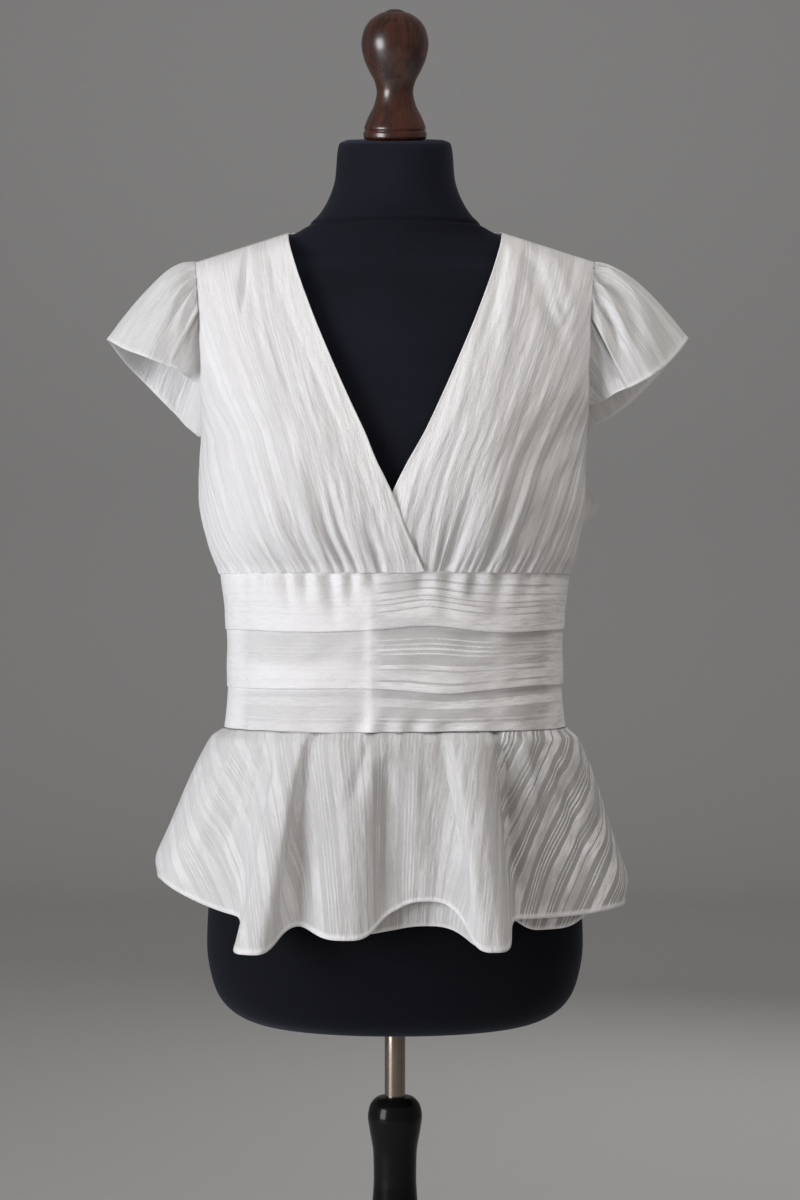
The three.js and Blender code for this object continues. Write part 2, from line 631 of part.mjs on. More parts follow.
function peplumSheet(from, to, columns, layer, extraAt) {
  return PEPLUM_LEVELS.map((down) =>
    Array.from({ length: columns + 1 }, (_, j) => {
      const turn = mix(from, to, j / columns);
      const p = peplumPoint(turn, down, layer, extraAt(turn));
      if (j === 0 || j === columns) p.y = from < 0.25 ? -SEAM_GAP / 2 : SEAM_GAP / 2;
      p.seam = (down === 0 ? "z" : "") + (j === 0 || j === columns ? "y" : "");
      return p;
    }),
  );
}

const underExtra = (turn) =>
  UNDER_SHOWS.reduce((sum, { at, width, extra }) => sum + extra * Math.exp(-(((turn - at) / width) ** 4)), -3);

// Assembly
place("form", formBody(), blackJersey);
finial();
place("pole", bar(POLE_RADIUS, POLE_FOOT, POLE_TOP, 24), steel);
place("post", post(), blackLacquer);
place("foot", foot(), blackLacquer);

place("front_right", frontPanel(-1, RIGHT_GATHERS, LAPPED_LIFT), whiteCloth);
place("front_left", frontPanel(1, LEFT_GATHERS, 0), whiteCloth);
place("back", backPanel(), whiteCloth);
place("sleeve_right", sleeve("right"), whiteCloth);
place("sleeve_left", sleeve("left"), whiteCloth);
place("band_front", clothWall([bandSheet(0, 0.5, 26)], CLOTH, axisAt), whiteCloth);
place("band_back", clothWall([bandSheet(0.5, 1, 16)], CLOTH, axisAt), whiteCloth);

const outerLayer = (from, to, columns) =>
  clothWall([peplumSheet(from, to, columns, { seam: 0, hem: 0 }, () => 0)], CLOTH, axisAt);
const underLayer = (from, to, columns) =>
  clothWall([peplumSheet(from, to, columns, LAYER_GAP, underExtra)], CLOTH, axisAt);
place("peplum_front", outerLayer(0, 0.5, 68), sheerCloth);
place("peplum_back", outerLayer(0.5, 1, 44), sheerCloth);
place("under_front", underLayer(0, 0.5, 68), sheerCloth);
place("under_back", underLayer(0.5, 1, 44), sheerCloth);

export default group;
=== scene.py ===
# %% [markdown]
# # A peplum top on its dress form
# This lesson dresses a imported frame of a real object: a white, semi-sheer peplum top worn by a
# black dress form with a turned wooden finial, a steel pole and a lacquered post. The frame
# already has every piece at its true size. Here each piece gets its fine surface: folds, hems,
# woven stripes, jersey, varnish and lacquer. The frame is loaded first.

# %% Load the frame
import math

import bpy
import numpy as np
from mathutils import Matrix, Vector


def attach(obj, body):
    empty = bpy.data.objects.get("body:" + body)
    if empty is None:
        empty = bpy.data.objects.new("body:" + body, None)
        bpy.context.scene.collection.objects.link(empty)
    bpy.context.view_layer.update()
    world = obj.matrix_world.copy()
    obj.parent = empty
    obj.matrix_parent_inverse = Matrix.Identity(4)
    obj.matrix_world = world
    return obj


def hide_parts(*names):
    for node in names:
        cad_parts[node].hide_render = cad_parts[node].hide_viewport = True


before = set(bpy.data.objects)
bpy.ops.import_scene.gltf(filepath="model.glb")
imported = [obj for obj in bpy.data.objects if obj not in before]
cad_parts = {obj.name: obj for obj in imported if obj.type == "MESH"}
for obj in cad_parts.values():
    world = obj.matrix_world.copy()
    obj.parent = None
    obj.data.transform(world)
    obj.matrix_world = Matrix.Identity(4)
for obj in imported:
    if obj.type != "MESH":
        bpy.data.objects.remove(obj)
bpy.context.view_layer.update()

# %% [markdown]
# ## Tables that are read between their rows
# The garment is described as a cutter would describe it: a few sections with a few sizes each.
# A spline would swing past the measured values, and straight steps would show as facets. So each
# column is read with a cubic whose slope is the harmonic mean of its neighbours, which is smooth
# and never overshoots. All sizes are in millimetres, and become metres only in the meshes.

# %% Tables
MM = 0.001


def table(names, *rows):
    """Columns by name, from one row for each section or fold."""
    values = np.array(rows, float)
    return {name: values[:, i] for i, name in enumerate(names.split())}


def read_table(columns, place):
    """Every column at a place between the rows, such as 1.5 for half way from row 1 to 2."""
    place = np.asarray(place, float)
    count = len(next(iter(columns.values())))
    low = np.clip(np.floor(place).astype(int), 0, count - 2)
    t = place - low
    read = {}
    for name, y in columns.items():
        step = np.diff(y)
        slope = np.concatenate([step[:1], np.zeros(count - 2), step[-1:]])
        before, after = step[:-1], step[1:]
        same_way = before * after > 0
        slope[1:-1][same_way] = (2 * before * after)[same_way] / (before + after)[same_way]
        rise = y[low + 1] - y[low]
        c = 3 * rise - 2 * slope[low] - slope[low + 1]
        d = slope[low] + slope[low + 1] - 2 * rise
        read[name] = y[low] + t * (slope[low] + t * (c + t * d))
    return read


def smooth(start, end, value):
    """0 before the start, 1 past the end, and an easy slope between."""
    t = np.clip((value - start) / (end - start), 0, 1)
    return t * t * (3 - 2 * t)


def mix(a, b, t):
    """From a to b as t goes from 0 to 1."""
    return a + (b - a) * t


def signed_power(value, power):
    """A power that keeps the sign, as rounded sections need it."""
    return np.sign(value) * np.abs(value) ** power


def hill(value, middle, width):
    """A soft ridge, 1 at its middle."""
    return np.exp(-(((value - middle) / width) ** 2))


# %% [markdown]
# ## From a grid of points to a thin shell of cloth
# Cloth can be a bare surface, but then it has no edge, and light leaks at the seams. A Solidify
# modifier would give it a thickness, and it moves points at sharp folds. Here the second side is
# made in code: each point has a partner a little way in along the surface's own direction, and
# the rim joins the two. The mesh also carries where each point lay in the flat cut piece, in
# metres, and three values for each point: how sheer the ground is, how strongly the satin stands
# out from it, and where a hem is.

# %% Shell of cloth
def smooth_object(name, points, faces):
    """A new object with smooth faces, from lists of points in metres and of faces."""
    mesh = bpy.data.meshes.new(name)
    mesh.from_pydata(points, [], faces)
    mesh.polygons.foreach_set("use_smooth", np.ones(len(mesh.polygons), bool))
    made = bpy.data.objects.new(name, mesh)
    bpy.context.scene.collection.objects.link(made)
    return made


def shell_faces(rows, columns):
    """Quads of the outer side, the inner side and the rim, for a grid and its inner partner."""
    ids = np.arange(rows * columns).reshape(rows, columns)
    outer = np.stack([ids[:-1, :-1], ids[:-1, 1:], ids[1:, 1:], ids[1:, :-1]], -1).reshape(-1, 4)
    inner = outer[:, ::-1] + rows * columns
    border = np.concatenate([ids[0, :], ids[1:, -1], ids[-1, -2::-1], ids[-2:0:-1, 0]])
    following = np.roll(border, -1)
    far = rows * columns
    rim = np.stack([following, border, border + far, following + far], -1)
    return np.concatenate([outer, inner, rim])


def facing(grid, middle):
    """Unit direction of the surface at each point, pointing away from the middle."""
    down = np.gradient(grid, axis=0)
    along = np.gradient(grid, axis=1)
    away = np.cross(down, along)
    away /= np.maximum(np.linalg.norm(away, axis=2, keepdims=True), 1e-9)
    flipped = np.mean(np.sum(away * (grid - middle), axis=2)) < 0
    return (-away if flipped else away), flipped


def cloth_piece(name, grid, flat, sheer, satin, hem=0.0, thickness=0.6, middle=None):
    """A thin shell from a grid of points in millimetres and their places in the flat piece."""
    rows, columns = grid.shape[:2]
    if middle is None:
        middle = np.concatenate([np.zeros_like(grid[..., :2]), grid[..., 2:]], axis=2)
    away, flipped = facing(grid, middle)
    points = np.concatenate([grid.reshape(-1, 3), (grid - away * thickness).reshape(-1, 3)]) * MM
    faces = shell_faces(rows, columns)
    if not flipped:
        faces = faces[:, ::-1]
    piece = smooth_object(name, points.tolist(), faces.tolist())
    mesh = piece.data
    on_both_sides = np.concatenate([flat.reshape(-1, 2)] * 2) * MM
    corners = np.empty(len(mesh.loops), np.int32)
    mesh.loops.foreach_get("vertex_index", corners)
    flat_layer = mesh.uv_layers.new(name="flat_piece")
    flat_layer.data.foreach_set("uv", on_both_sides[corners].astype(np.float32).ravel())
    for label, values in (("sheer_share", sheer), ("satin_share", satin), ("hem_band", hem)):
        spread = np.broadcast_to(values, (rows, columns)).reshape(-1)
        layer = mesh.attributes.new(label, "FLOAT", "POINT")
        layer.data.foreach_set("value", np.concatenate([spread, spread]).astype(np.float32))
    mesh.validate()
    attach(piece, "torso")
    print(f"{name}: {len(mesh.polygons)} faces")
    return piece


# %% [markdown]
# ## Shader maths as plain expressions
# A node tree for a woven stripe has dozens of Math nodes. Written one call at a time they hide
# the idea. This small class wraps a socket and overloads the operators, so that a mask can be
# written as an expression, and Blender's nodes appear behind it. Every other node comes from one
# method that takes its type, its settings and its inputs.

# %% Socket maths
class Wire:
    """A socket in a material's node tree that can be added, multiplied and compared."""

    def __init__(self, tree, socket):
        self.tree, self.socket = tree, socket

    def node(self, kind, settings=None, inputs=None, output=0):
        """Any node: settings first, then values or wires for its sockets."""
        made = self.tree.nodes.new(kind)
        for key, value in (settings or {}).items():
            if key == "stops":
                ramp = made.color_ramp
                while len(ramp.elements) < len(value):
                    ramp.elements.new(0.5)
                for element, (place, color) in zip(ramp.elements, value):
                    element.position, element.color = place, (*color, 1)
            elif key == "interpolation":
                made.color_ramp.interpolation = value
            else:
                setattr(made, key, value)
        for key, value in (inputs or {}).items():
            if isinstance(value, Wire):
                self.tree.links.new(value.socket, made.inputs[key])
            else:
                made.inputs[key].default_value = value
        return Wire(self.tree, made.outputs[output])

    def math(self, operation, *others):
        """A Math node with this wire first."""
        values = {i: value for i, value in enumerate((self, *others))}
        return self.node("ShaderNodeMath", {"operation": operation}, values)

    def __add__(self, other):
        return self.math("ADD", other)

    def __sub__(self, other):
        return self.math("SUBTRACT", other)

    def __mul__(self, other):
        return self.math("MULTIPLY", other)

    def __truediv__(self, other):
        return self.math("DIVIDE", other)

    def __rsub__(self, other):
        return self.node("ShaderNodeMath", {"operation": "SUBTRACT"}, {0: other, 1: self})

    __radd__ = __add__
    __rmul__ = __mul__

    def fraction(self):
        return self.math("FRACT")

    def at_most(self, other):
        return self.math("MINIMUM", other)

    def sine(self):
        return self.math("SINE")

    def blend(self, low, high):
        """Colour from low to high as this wire goes from 0 to 1."""
        settings = {"data_type": "RGBA"}
        return self.node("ShaderNodeMix", settings, {0: self, 6: (*low, 1), 7: (*high, 1)}, 2)

    def between(self, low, high):
        """Number from low to high as this wire goes from 0 to 1."""
        return self * (high - low) + low


def new_material(name, **sockets):
    """A material with its fixed values set on the shader's own sockets."""
    material = bpy.data.materials.new(name)
    material.use_nodes = True
    shader = material.node_tree.nodes["Principled BSDF"]
    for key, value in sockets.items():
        shader.inputs[key.replace("_", " ")].default_value = value
    return material, shader, Wire(material.node_tree, None)


def connect(shader, wires):
    """Links wires to the shader's sockets by name."""
    for key, wire in wires.items():
        wire.tree.links.new(wire.socket, shader.inputs[key])


def smoothstep(wire, start, end):
    """The shader's own easy slope from 0 to 1."""
    settings = {"interpolation_type": "SMOOTHSTEP"}
    return wire.node("ShaderNodeMapRange", settings, {0: wire, 1: start, 2: end})


def noise(wire, place, scale, detail):
    """Soft random spots, which are smaller at a larger scale."""
    return wire.node("ShaderNodeTexNoise", {}, {"Vector": place, "Scale": scale, "Detail": detail})


def bump(wire, strength, distance):
    """A normal from a height, whose full relief is the distance in metres."""
    return wire.node("ShaderNodeBump", {}, {"Height": wire, "Strength": strength, "Distance": distance})


def show_on(piece, material):
    """Makes this the piece's only material."""
    piece.data.materials.clear()
    piece.data.materials.append(material)


# %% [markdown]
# ## The striped cloth
# The cloth is a thin crinkled plain weave with dense satin stripes woven into it: broad bars,
# pairs of medium ones, and groups of pin stripes, with clear gaps between them. An image of the
# cloth could be wrapped on the pieces, but it would stretch. Instead the stripes are drawn across
# the flat cut piece, whose coordinates every mesh carries, so they follow the grain on each piece
# as real ones do. One repeat of the weave is a ramp with sharp stops. The satin is whiter,
# smoother and slightly raised. The gaps are greyer, and partly see-through where the cloth hangs
# free.

# %% Striped cloth
STRIPE_REPEAT = 83.0
STRIPE_BARS = (  # where each satin bar starts and ends across one repeat
    (0.0, 9.5), (15.0, 16.4), (18.2, 19.6), (21.4, 23.2), (25.0, 26.4), (31.0, 40.5),
    (42.8, 44.0), (46.2, 47.2), (52.0, 57.5), (59.3, 66.5), (72.0, 73.3), (75.0, 76.6),
)
BAND_REPEAT = 150.0
BAND_BARS = (  # down the flat strip, past the two hidden folds
    (0.0, 12.5), (14.5, 20.0), (21.8, 27.0), (28.6, 31.2), (32.8, 37.0), (38.6, 58.0),
    (66.8, 68.0), (71.4, 72.6), (74.8, 76.2), (78.6, 80.2), (88.0, 91.5), (93.0, 101.0),
    (103.0, 112.0), (120.5, 128.0), (138.0, 140.0), (142.0, 150.0),
)


def ramp_stops(bars, repeat):
    """White from each bar's start and black from its end, for a ramp that doesn't blend."""
    stops = []
    for start, end in bars:
        stops.append((start / repeat, (1, 1, 1)))
        stops.append((end / repeat, (0, 0, 0)))
    return stops[:-1] if bars[-1][1] == repeat else stops


def striped_cloth(name, bars, repeat, satin, gap, gap_alpha, through):
    """A woven stripe from satin to gap. through is the share of light that the cloth passes."""
    material, shader, wire = new_material(
        name, Sheen_Weight=0.12, Sheen_Roughness=0.4, IOR=1.45, Subsurface_Weight=through,
        Subsurface_Radius=(1.0, 0.95, 0.90), Subsurface_Scale=0.002,
    )
    flat = wire.node("ShaderNodeUVMap", {"uv_map": "flat_piece"})
    across = wire.node("ShaderNodeSeparateXYZ", {}, {0: flat}, 0) * 1000
    along = wire.node("ShaderNodeSeparateXYZ", {}, {0: flat}, 1) * 1000

    def share(label):
        return wire.node("ShaderNodeAttribute", {"attribute_name": label}, {}, 2)

    def grain(across_scale, along_scale, detail):
        """Noise with this many spots for each millimetre across and along the threads."""
        spots = {0: across * across_scale, 1: along * along_scale}
        return noise(wire, wire.node("ShaderNodeCombineXYZ", {}, spots), 1.0, detail)

    sheer, stands_out, hem = share("sheer_share"), share("satin_share"), share("hem_band")

    ragged = (grain(0.6, 0.5, 2.0) - 0.5) * 1.3
    wander = (grain(0.02, 0.012, 1.0) - 0.5) * 4
    place = ((across + ragged + wander) / repeat).fraction()
    ramp = {"stops": ramp_stops(bars, repeat), "interpolation": "CONSTANT"}
    bars_here = wire.node("ShaderNodeValToRGB", ramp, {0: place})
    worn = smoothstep(grain(0.9, 0.06, 3.0), 0.30, 0.55).between(0.45, 1.0)
    patches = smoothstep(grain(0.045, 0.016, 2.0), 0.34, 0.60).between(0.40, 1.0)
    gaps_show = (1 - bars_here * worn * patches * stands_out) * sheer * (1 - hem)
    solid = 1 - gaps_show
    streaks = grain(0.42, 0.08, 3.0)
    crepe = grain(1.1, 0.7, 3.0)
    wrinkles = grain(0.085, 0.022, 2.5)
    cloudy = grain(0.025, 0.018, 2.0)
    shade = streaks.between(0.91, 1.06) * crepe.between(0.88, 1.08) * cloudy.between(0.95, 1.04)
    tone = solid.blend(gap, satin)
    color = wire.node("ShaderNodeMix", {"data_type": "RGBA", "blend_type": "MULTIPLY"}, {
        0: 1.0, 6: tone, 7: shade.at_most(1.1).blend((0, 0, 0), (1, 1, 1)),
    }, 2)
    relief = bars_here * 0.25 + streaks * 0.9 + crepe * 0.9 + wrinkles * 4.5
    connect(shader, {
        "Base Color": color,
        "Roughness": solid.between(0.85, 0.45),
        "Alpha": solid.between(gap_alpha, 1.0),
        "Normal": bump(relief, 0.7, 0.0011),
    })
    return material


WHITE = (0.895, 0.89, 0.905)
stripes = {"bars": STRIPE_BARS, "repeat": STRIPE_REPEAT, "satin": WHITE}
band_stripes = {"bars": BAND_BARS, "repeat": BAND_REPEAT, "satin": WHITE}
close_fitting = {  # nothing shows through cloth that lies on the form
    "gap_alpha": 1.0, "through": 0.0,
}
bodice_cloth = striped_cloth("bodice_cloth", gap=(0.60, 0.595, 0.60), **stripes, **close_fitting)
band_cloth = striped_cloth("band_cloth", gap=(0.58, 0.575, 0.58), **band_stripes, **close_fitting)
sleeve_cloth = striped_cloth(
    "sleeve_cloth", gap=(0.62, 0.62, 0.61), gap_alpha=0.80, through=0.5, **stripes
)
peplum_cloth = striped_cloth(
    "peplum_cloth", gap=(0.45, 0.445, 0.44), gap_alpha=0.84, through=0.25, **stripes
)
print("cloth materials made, one weave repeat is", STRIPE_REPEAT, "mm")

# %% [markdown]
# ## The bodice fronts
# Each front is cut with its grain along the neckline, and more cloth than the seam under the bust
# needs, so it is gathered there. The sections below go from that seam to the shoulder: where the
# neckline edge is, where the side seam or armhole is, how far forward the section reaches, how
# much the bust adds, and how squarely it turns. A cloth simulation would need the flat pattern
# and a body, and would settle each time into other folds. The folds here are placed one by one,
# as the photograph shows them: short hard gathers at the seam, and long soft ones that fade
# towards the shoulder.

# %% Front sections
FRONT = table(
    "neck_x neck_z side_x side_y side_z depth cup squareness",
    (-26, 989, 161, 0, 989, 109, 2, 2.3),
    (-14, 1020, 169.5, 0, 1020, 121, 8, 2.3),
    (0, 1057, 176.5, 0, 1060, 126, 12, 2.3),
    (20, 1098, 177.5, 0, 1105, 122, 11, 2.3),
    (44.5, 1151, 176, 32, 1150, 108, 5, 2.3),
    (74, 1222, 177, 38, 1210, 81, 0, 2.2),
    (89.5, 1266, 180, 25, 1248, 55, 0, 2.0),
    (96, 1289, 182, 11, 1266, 34, 0, 2.0),
    (98.4, 1302, 183, 0, 1275, 0, 0, 2.0),
)
BACK = table(
    "neck_x neck_z side_x side_y side_z depth cup squareness",
    (0, 989, 161, 0, 989, 102, 0, 2.3),
    (0, 1020, 169.5, 0, 1020, 106, 0, 2.3),
    (0, 1060, 176.5, 0, 1060, 108, 0, 2.3),
    (0, 1105, 177.5, 0, 1105, 110, 0, 2.3),
    (0, 1152, 176, 36, 1150, 111, 0, 2.3),
    (0, 1215, 177, 44, 1210, 103, 0, 2.2),
    (0, 1262, 180, 30, 1248, 84, 0, 2.0),
    (42, 1266.5, 181, 22, 1257, 77, 0, 1.95),
    (68, 1284, 182, 14, 1266, 68, 0, 1.9),
    (98.4, 1302, 183, 0, 1275, 0, 0, 2.0),
)
BAND_TOP = 989.0
BUST_X, BUST_WIDTH = 84, 46


def bodice_points(sections, level, across):
    """x, how far out from the middle plane, and z, on the wearer's half of a section."""
    row = read_table(sections, level)
    start = np.arcsin(signed_power(row["neck_x"] / row["side_x"], row["squareness"] / 2))
    angle = mix(start, math.pi / 2, across)
    power = 2 / row["squareness"]
    x = row["side_x"] * signed_power(np.sin(angle), power)
    bust = row["cup"] * hill(x, BUST_X, BUST_WIDTH)
    reach = row["side_y"] + (row["depth"] - row["side_y"]) * np.maximum(np.cos(angle), 0) ** power
    z = mix(row["neck_z"], row["side_z"], (x - row["neck_x"]) / (row["side_x"] - row["neck_x"]))
    return x, reach + bust, z


def outward(x, reach):
    """Level direction out of the surface, from the run of each section."""
    run_x, run_y = np.gradient(x, axis=1), np.gradient(reach, axis=1)
    length = np.maximum(np.hypot(run_x, run_y), 1e-9)
    out_x, out_y = -run_y / length, run_x / length
    out_x[:, -1], out_y[:, -1] = 1, 0
    return out_x, out_y


def bust_shift(z):
    """How far the bodice sits to the viewer's left at this height."""
    return -2.3 * smooth(989, 1030, z) * (1 - smooth(1080, 1115, z))


def levels_by_height(sections, count):
    """Levels whose side edges are evenly spaced, a little closer near the gathers."""
    t = np.linspace(0, 1, count) ** 1.25
    heights = mix(sections["side_z"][0], sections["side_z"][-1], t)
    return np.interp(heights, sections["side_z"], np.arange(len(sections["side_z"])))[:, None]


# %% [markdown]
# ## Gathers and creases
# Where a point of the front lay in the flat cloth also steers its folds. The seam gathers more
# cloth than its own length, so one millimetre there holds about one and a half of flat cloth. A
# thread of the weave runs down from the shoulder a little steeper than the neckline, and a gather
# follows it, because that is the way the cloth is pulled. So the gathers are a table of soft
# troughs, at places across the flat cloth: each has a depth, a rise, which is how far up it
# reaches, and a width that opens as it climbs. Between two troughs the cloth rounds out by itself.

# %% Gathers and creases
RIGHT_TROUGHS = table(
    "at depth rise width",
    (27, 1.0, 22, 2.6), (39, 3.8, 60, 4.0), (52, 1.2, 24, 2.4), (65, 4.2, 150, 3.4),
    (79, 6.6, 145, 5.0), (95, 2.0, 26, 2.4), (111, 6.2, 135, 6.2), (124, 2.6, 230, 4.6),
    (135, 2.8, 40, 3.0), (146, 2.2, 30, 2.6), (156, 4.2, 75, 4.0), (165, 2.2, 115, 3.2),
    (174, 4.0, 60, 3.8), (186, 2.4, 34, 2.8), (196, 2.0, 60, 3.2), (206, 3.4, 50, 3.8),
    (218, 2.2, 30, 2.8), (232, 1.6, 50, 3.2), (246, 1.2, 30, 3.0),
)
LEFT_TROUGHS = table(
    "at depth rise width",
    (40, 2.6, 95, 3.2), (56, 1.6, 200, 3.0), (68, 2.0, 190, 2.8), (84, 8.0, 120, 8.0),
    (98, 2.0, 28, 2.6), (110, 2.2, 30, 2.6), (121, 2.0, 28, 2.6), (134, 7.6, 175, 5.8),
    (146, 2.2, 28, 2.6), (157, 2.6, 34, 2.8), (169, 6.6, 135, 5.0), (181, 2.2, 30, 2.8),
    (194, 4.0, 85, 4.0), (207, 2.6, 40, 3.0), (220, 2.4, 60, 3.2), (234, 1.6, 60, 3.4),
)
RIGHT_CREASES = table(  # from one place to another on the front, as seen
    "x0 z0 x1 z1 width out",
    (-135, 1290, -137, 1222, 2.4, -4.5), (-141, 1290, -143, 1226, 4.5, 2.6),
    (-168, 1092, -128, 1004, 6.0, 1.5), (-158, 1128, -112, 1040, 7.0, -1.6),
    (-120, 1240, -88, 1130, 7.0, -1.4), (-104, 1262, -66, 1150, 6.0, 1.4),
)
LEFT_CREASES = table(
    "x0 z0 x1 z1 width out",
    (112, 1294, 152, 1190, 7.0, -5.2), (128, 1264, 152, 1220, 5.0, -3.2),
    (138, 1252, 150, 1208, 4.5, 2.6), (142, 1286, 162, 1222, 7.0, 2.4),
    (168, 1148, 132, 1072, 7.0, -2.4), (152, 1080, 110, 1008, 6.0, -2.8),
    (162, 1104, 128, 1040, 6.0, 2.0), (96, 1288, 80, 1180, 7.0, -1.8),
    (106, 1284, 94, 1170, 7.0, 1.6),
)
GATHER_FULLNESS = 0.5
GRAIN_LEAN = 0.165  # how far a thread moves to the side for each millimetre that it goes up


def flat_width(run, above, across):
    """Distance across the flat cloth, from what the surface measures and how it is gathered."""
    window = smooth(0.06, 0.22, across) * (1 - smooth(0.88, 0.98, across))
    density = 1 + GATHER_FULLNESS * np.exp(-np.maximum(above, 0) / 70) * window
    return GRAIN_LEAN * above + np.cumsum(run * density, axis=1) - (run * density)[:, :1]


def troughs_out(troughs, flat_u, above):
    """How far the gathers push the cloth out, which is inward in a trough."""
    held = mix(0.45, 1, smooth(0, 9, above))
    total = 0
    for at, depth, rise, width in zip(*troughs.values()):
        opening = width * (1 + np.maximum(above, 0) / 90)
        fade = 1 - smooth(0.12 * rise, rise, above)
        wandering = flat_u + 1.5 * np.sin(above / 29 + at)
        total = total - depth * hill(wandering, at, opening) * fade * held
    return total


def creases_out(creases, a, b):
    """Soft troughs and ridges along straight lines that fade at both ends."""
    total = 0
    for a0, b0, a1, b1, width, out in zip(*creases.values()):
        length = math.hypot(a1 - a0, b1 - b0)
        along = ((a - a0) * (a1 - a0) + (b - b0) * (b1 - b0)) / length ** 2
        aside = ((a - a0) * (b1 - b0) - (b - b0) * (a1 - a0)) / length
        ends = smooth(-0.2, 0.25, along) * (1 - smooth(0.7, 1.15, along))
        total = total + out * hill(aside, 0, width) * ends
    return total


def ripple_out(flat_u, above, seed):
    """The small unevenness that soft cloth always has, along its threads."""
    slow = np.sin(flat_u * 0.21 + 1.7 * np.sin(above / 57 + seed) + seed)
    fast = np.sin(flat_u * 0.62 + 2.1 * np.sin(above / 31 + 2 * seed) - seed)
    return 0.45 * slow + 0.22 * fast


# %% [markdown]
# ## Sewing the fronts
# The two fronts differ in their folds alone, so one function makes both. The folds die out at the
# neckline, the side seam and the shoulder, where a real front is held. The wearer's right front
# is lifted over the other where they cross, and the cloth bags a little over the seam under the
# bust. Along the neckline the cloth is turned in, so a strip there is hardly sheer.

# %% Fronts
FRONT_GRID = (150, 230)


def sheer_on_front(side, x, width):
    """Sheerest towards the wearer's left, and hardly sheer along the neckline."""
    seen_x = side * x
    ground = mix(mix(0.62, 0.72, smooth(-40, 90, seen_x)), 0.38, smooth(105, 140, -seen_x))
    return mix(ground, 0.12, 1 - smooth(19, 22, width))


def front_piece(name, side, troughs, creases, lift):
    """One front from its own folds. side is -1 for the wearer's right, and lift is for the lap."""
    level = levels_by_height(FRONT, FRONT_GRID[0])
    across = np.linspace(0, 1, FRONT_GRID[1])[None, :]
    x, reach, z = bodice_points(FRONT, level, across)
    out_x, out_y = outward(x, reach)
    above = z - BAND_TOP
    run = np.hypot(np.gradient(x, axis=1), np.gradient(reach, axis=1))
    width = np.cumsum(run, axis=1) - run[:, :1]
    flat_u = flat_width(run, above, across)
    free = smooth(0, 12, width) * (1 - smooth(0.94, 1.0, across)) * (1 - smooth(285, 312, above))
    folds = troughs_out(troughs, flat_u, above) + creases_out(creases, side * x, z)
    puff = 1.6 * smooth(0, 14, above) * (1 - smooth(30, 110, above))
    lap = lift * (1 - smooth(0, 70, x)) * (1 - smooth(4, 6, level))
    edge_roll = 0.5 * (1 - smooth(1.2, 2.6, width)) * (1 - smooth(285, 308, above))
    out = (folds + puff + ripple_out(flat_u, above, side)) * free + lap + edge_roll
    grid = np.stack([side * (x + out_x * out) + bust_shift(z), -(reach + out_y * out) - 0.15, z], -1)
    bulge = 1.4 + 0.55 * np.clip(folds, -2.4, 0)
    grid[..., 2] -= bulge * (1 - smooth(0, 7, above)) * free
    flat = np.stack([flat_u, above], -1)
    piece = cloth_piece(name, grid, flat, sheer_on_front(side, x, width), 0.7)
    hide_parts(name.replace("_cloth", ""))
    show_on(piece, bodice_cloth)


front_piece("front_right_cloth", -1, RIGHT_TROUGHS, RIGHT_CREASES, lift=3.0)
front_piece("front_left_cloth", 1, LEFT_TROUGHS, LEFT_CREASES, lift=0.0)

# %% [markdown]
# ## The back
# The back isn't in view, so it is finished plainly, and as the fronts suggest: one piece with its
# grain down the centre, a few soft gathers over the band, and the slack that stands out behind
# the wearer's left side seam.

# %% Back
BACK_GRID = (100, 98)  # rows, and columns from the centre to one side seam
BACK_RIPPLES = table(  # soft gathers over the band, by their place from the centre to the side
    "at out",
    (0.1, 1.6), (0.19, 2.4), (0.28, 2.0), (0.38, 2.6), (0.47, 1.8), (0.57, 1.4),
)
BACK_HALF_WIDTH = 190.0
SLACK_OUT, SLACK_Z = 22.0, 1050.0


def back_half(side):
    """Points and flat places of one half, from the centre to the side seam."""
    level = levels_by_height(BACK, BACK_GRID[0])
    half = np.linspace(0, 1, BACK_GRID[1])[None, :]
    x, reach, z = bodice_points(BACK, level, half)
    out_x, out_y = outward(x, reach)
    above = z - BAND_TOP
    ripple = 0
    for at, out in zip(*BACK_RIPPLES.values()):
        gather = hill((half - at) * BACK_HALF_WIDTH, 0, 5 + above / 16)
        ripple = ripple + out * gather * (1 - smooth(0, 120, above))
    ripple = ripple * mix(0.3, 1, smooth(0, 9, above))
    slack = SLACK_OUT * np.sin(math.pi * np.clip((half - 0.6) / 0.4, 0, 1)) * hill(z, SLACK_Z, 22)
    sideways = x + out_x * ripple + (slack if side > 0 else 0)
    grid = np.stack([side * sideways + bust_shift(z), reach + out_y * ripple + 0.15, z], -1)
    grid[0, :, 2] += 0.3
    run = np.hypot(np.gradient(x, axis=1), np.gradient(reach, axis=1))
    width = np.cumsum(run, axis=1) - run[:, :1]
    neck_edge = read_table(BACK, level)["neck_x"]
    return grid, np.stack([side * (width + neck_edge), above], -1)


def back_piece():
    """The two halves as one piece, with no seam at the centre."""
    halves = zip(back_half(-1), back_half(1))
    grid, flat = (np.concatenate([right[:, :0:-1], left], axis=1) for right, left in halves)
    piece = cloth_piece("back_cloth", grid, flat, 0.55, 0.5)
    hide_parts("back")
    show_on(piece, bodice_cloth)


back_piece()

# %% [markdown]
# ## The cap sleeves
# A cap sleeve is a short curved strip, sewn to the upper armhole only, with more cloth at its
# head than the armhole is long. It could be a bent plate, but the gathers make it stand up in a
# soft puff and the hem flare. Each ring here goes from the armhole edge to a hem whose nine
# points were placed from the photograph, and the head gathers die out half way down.

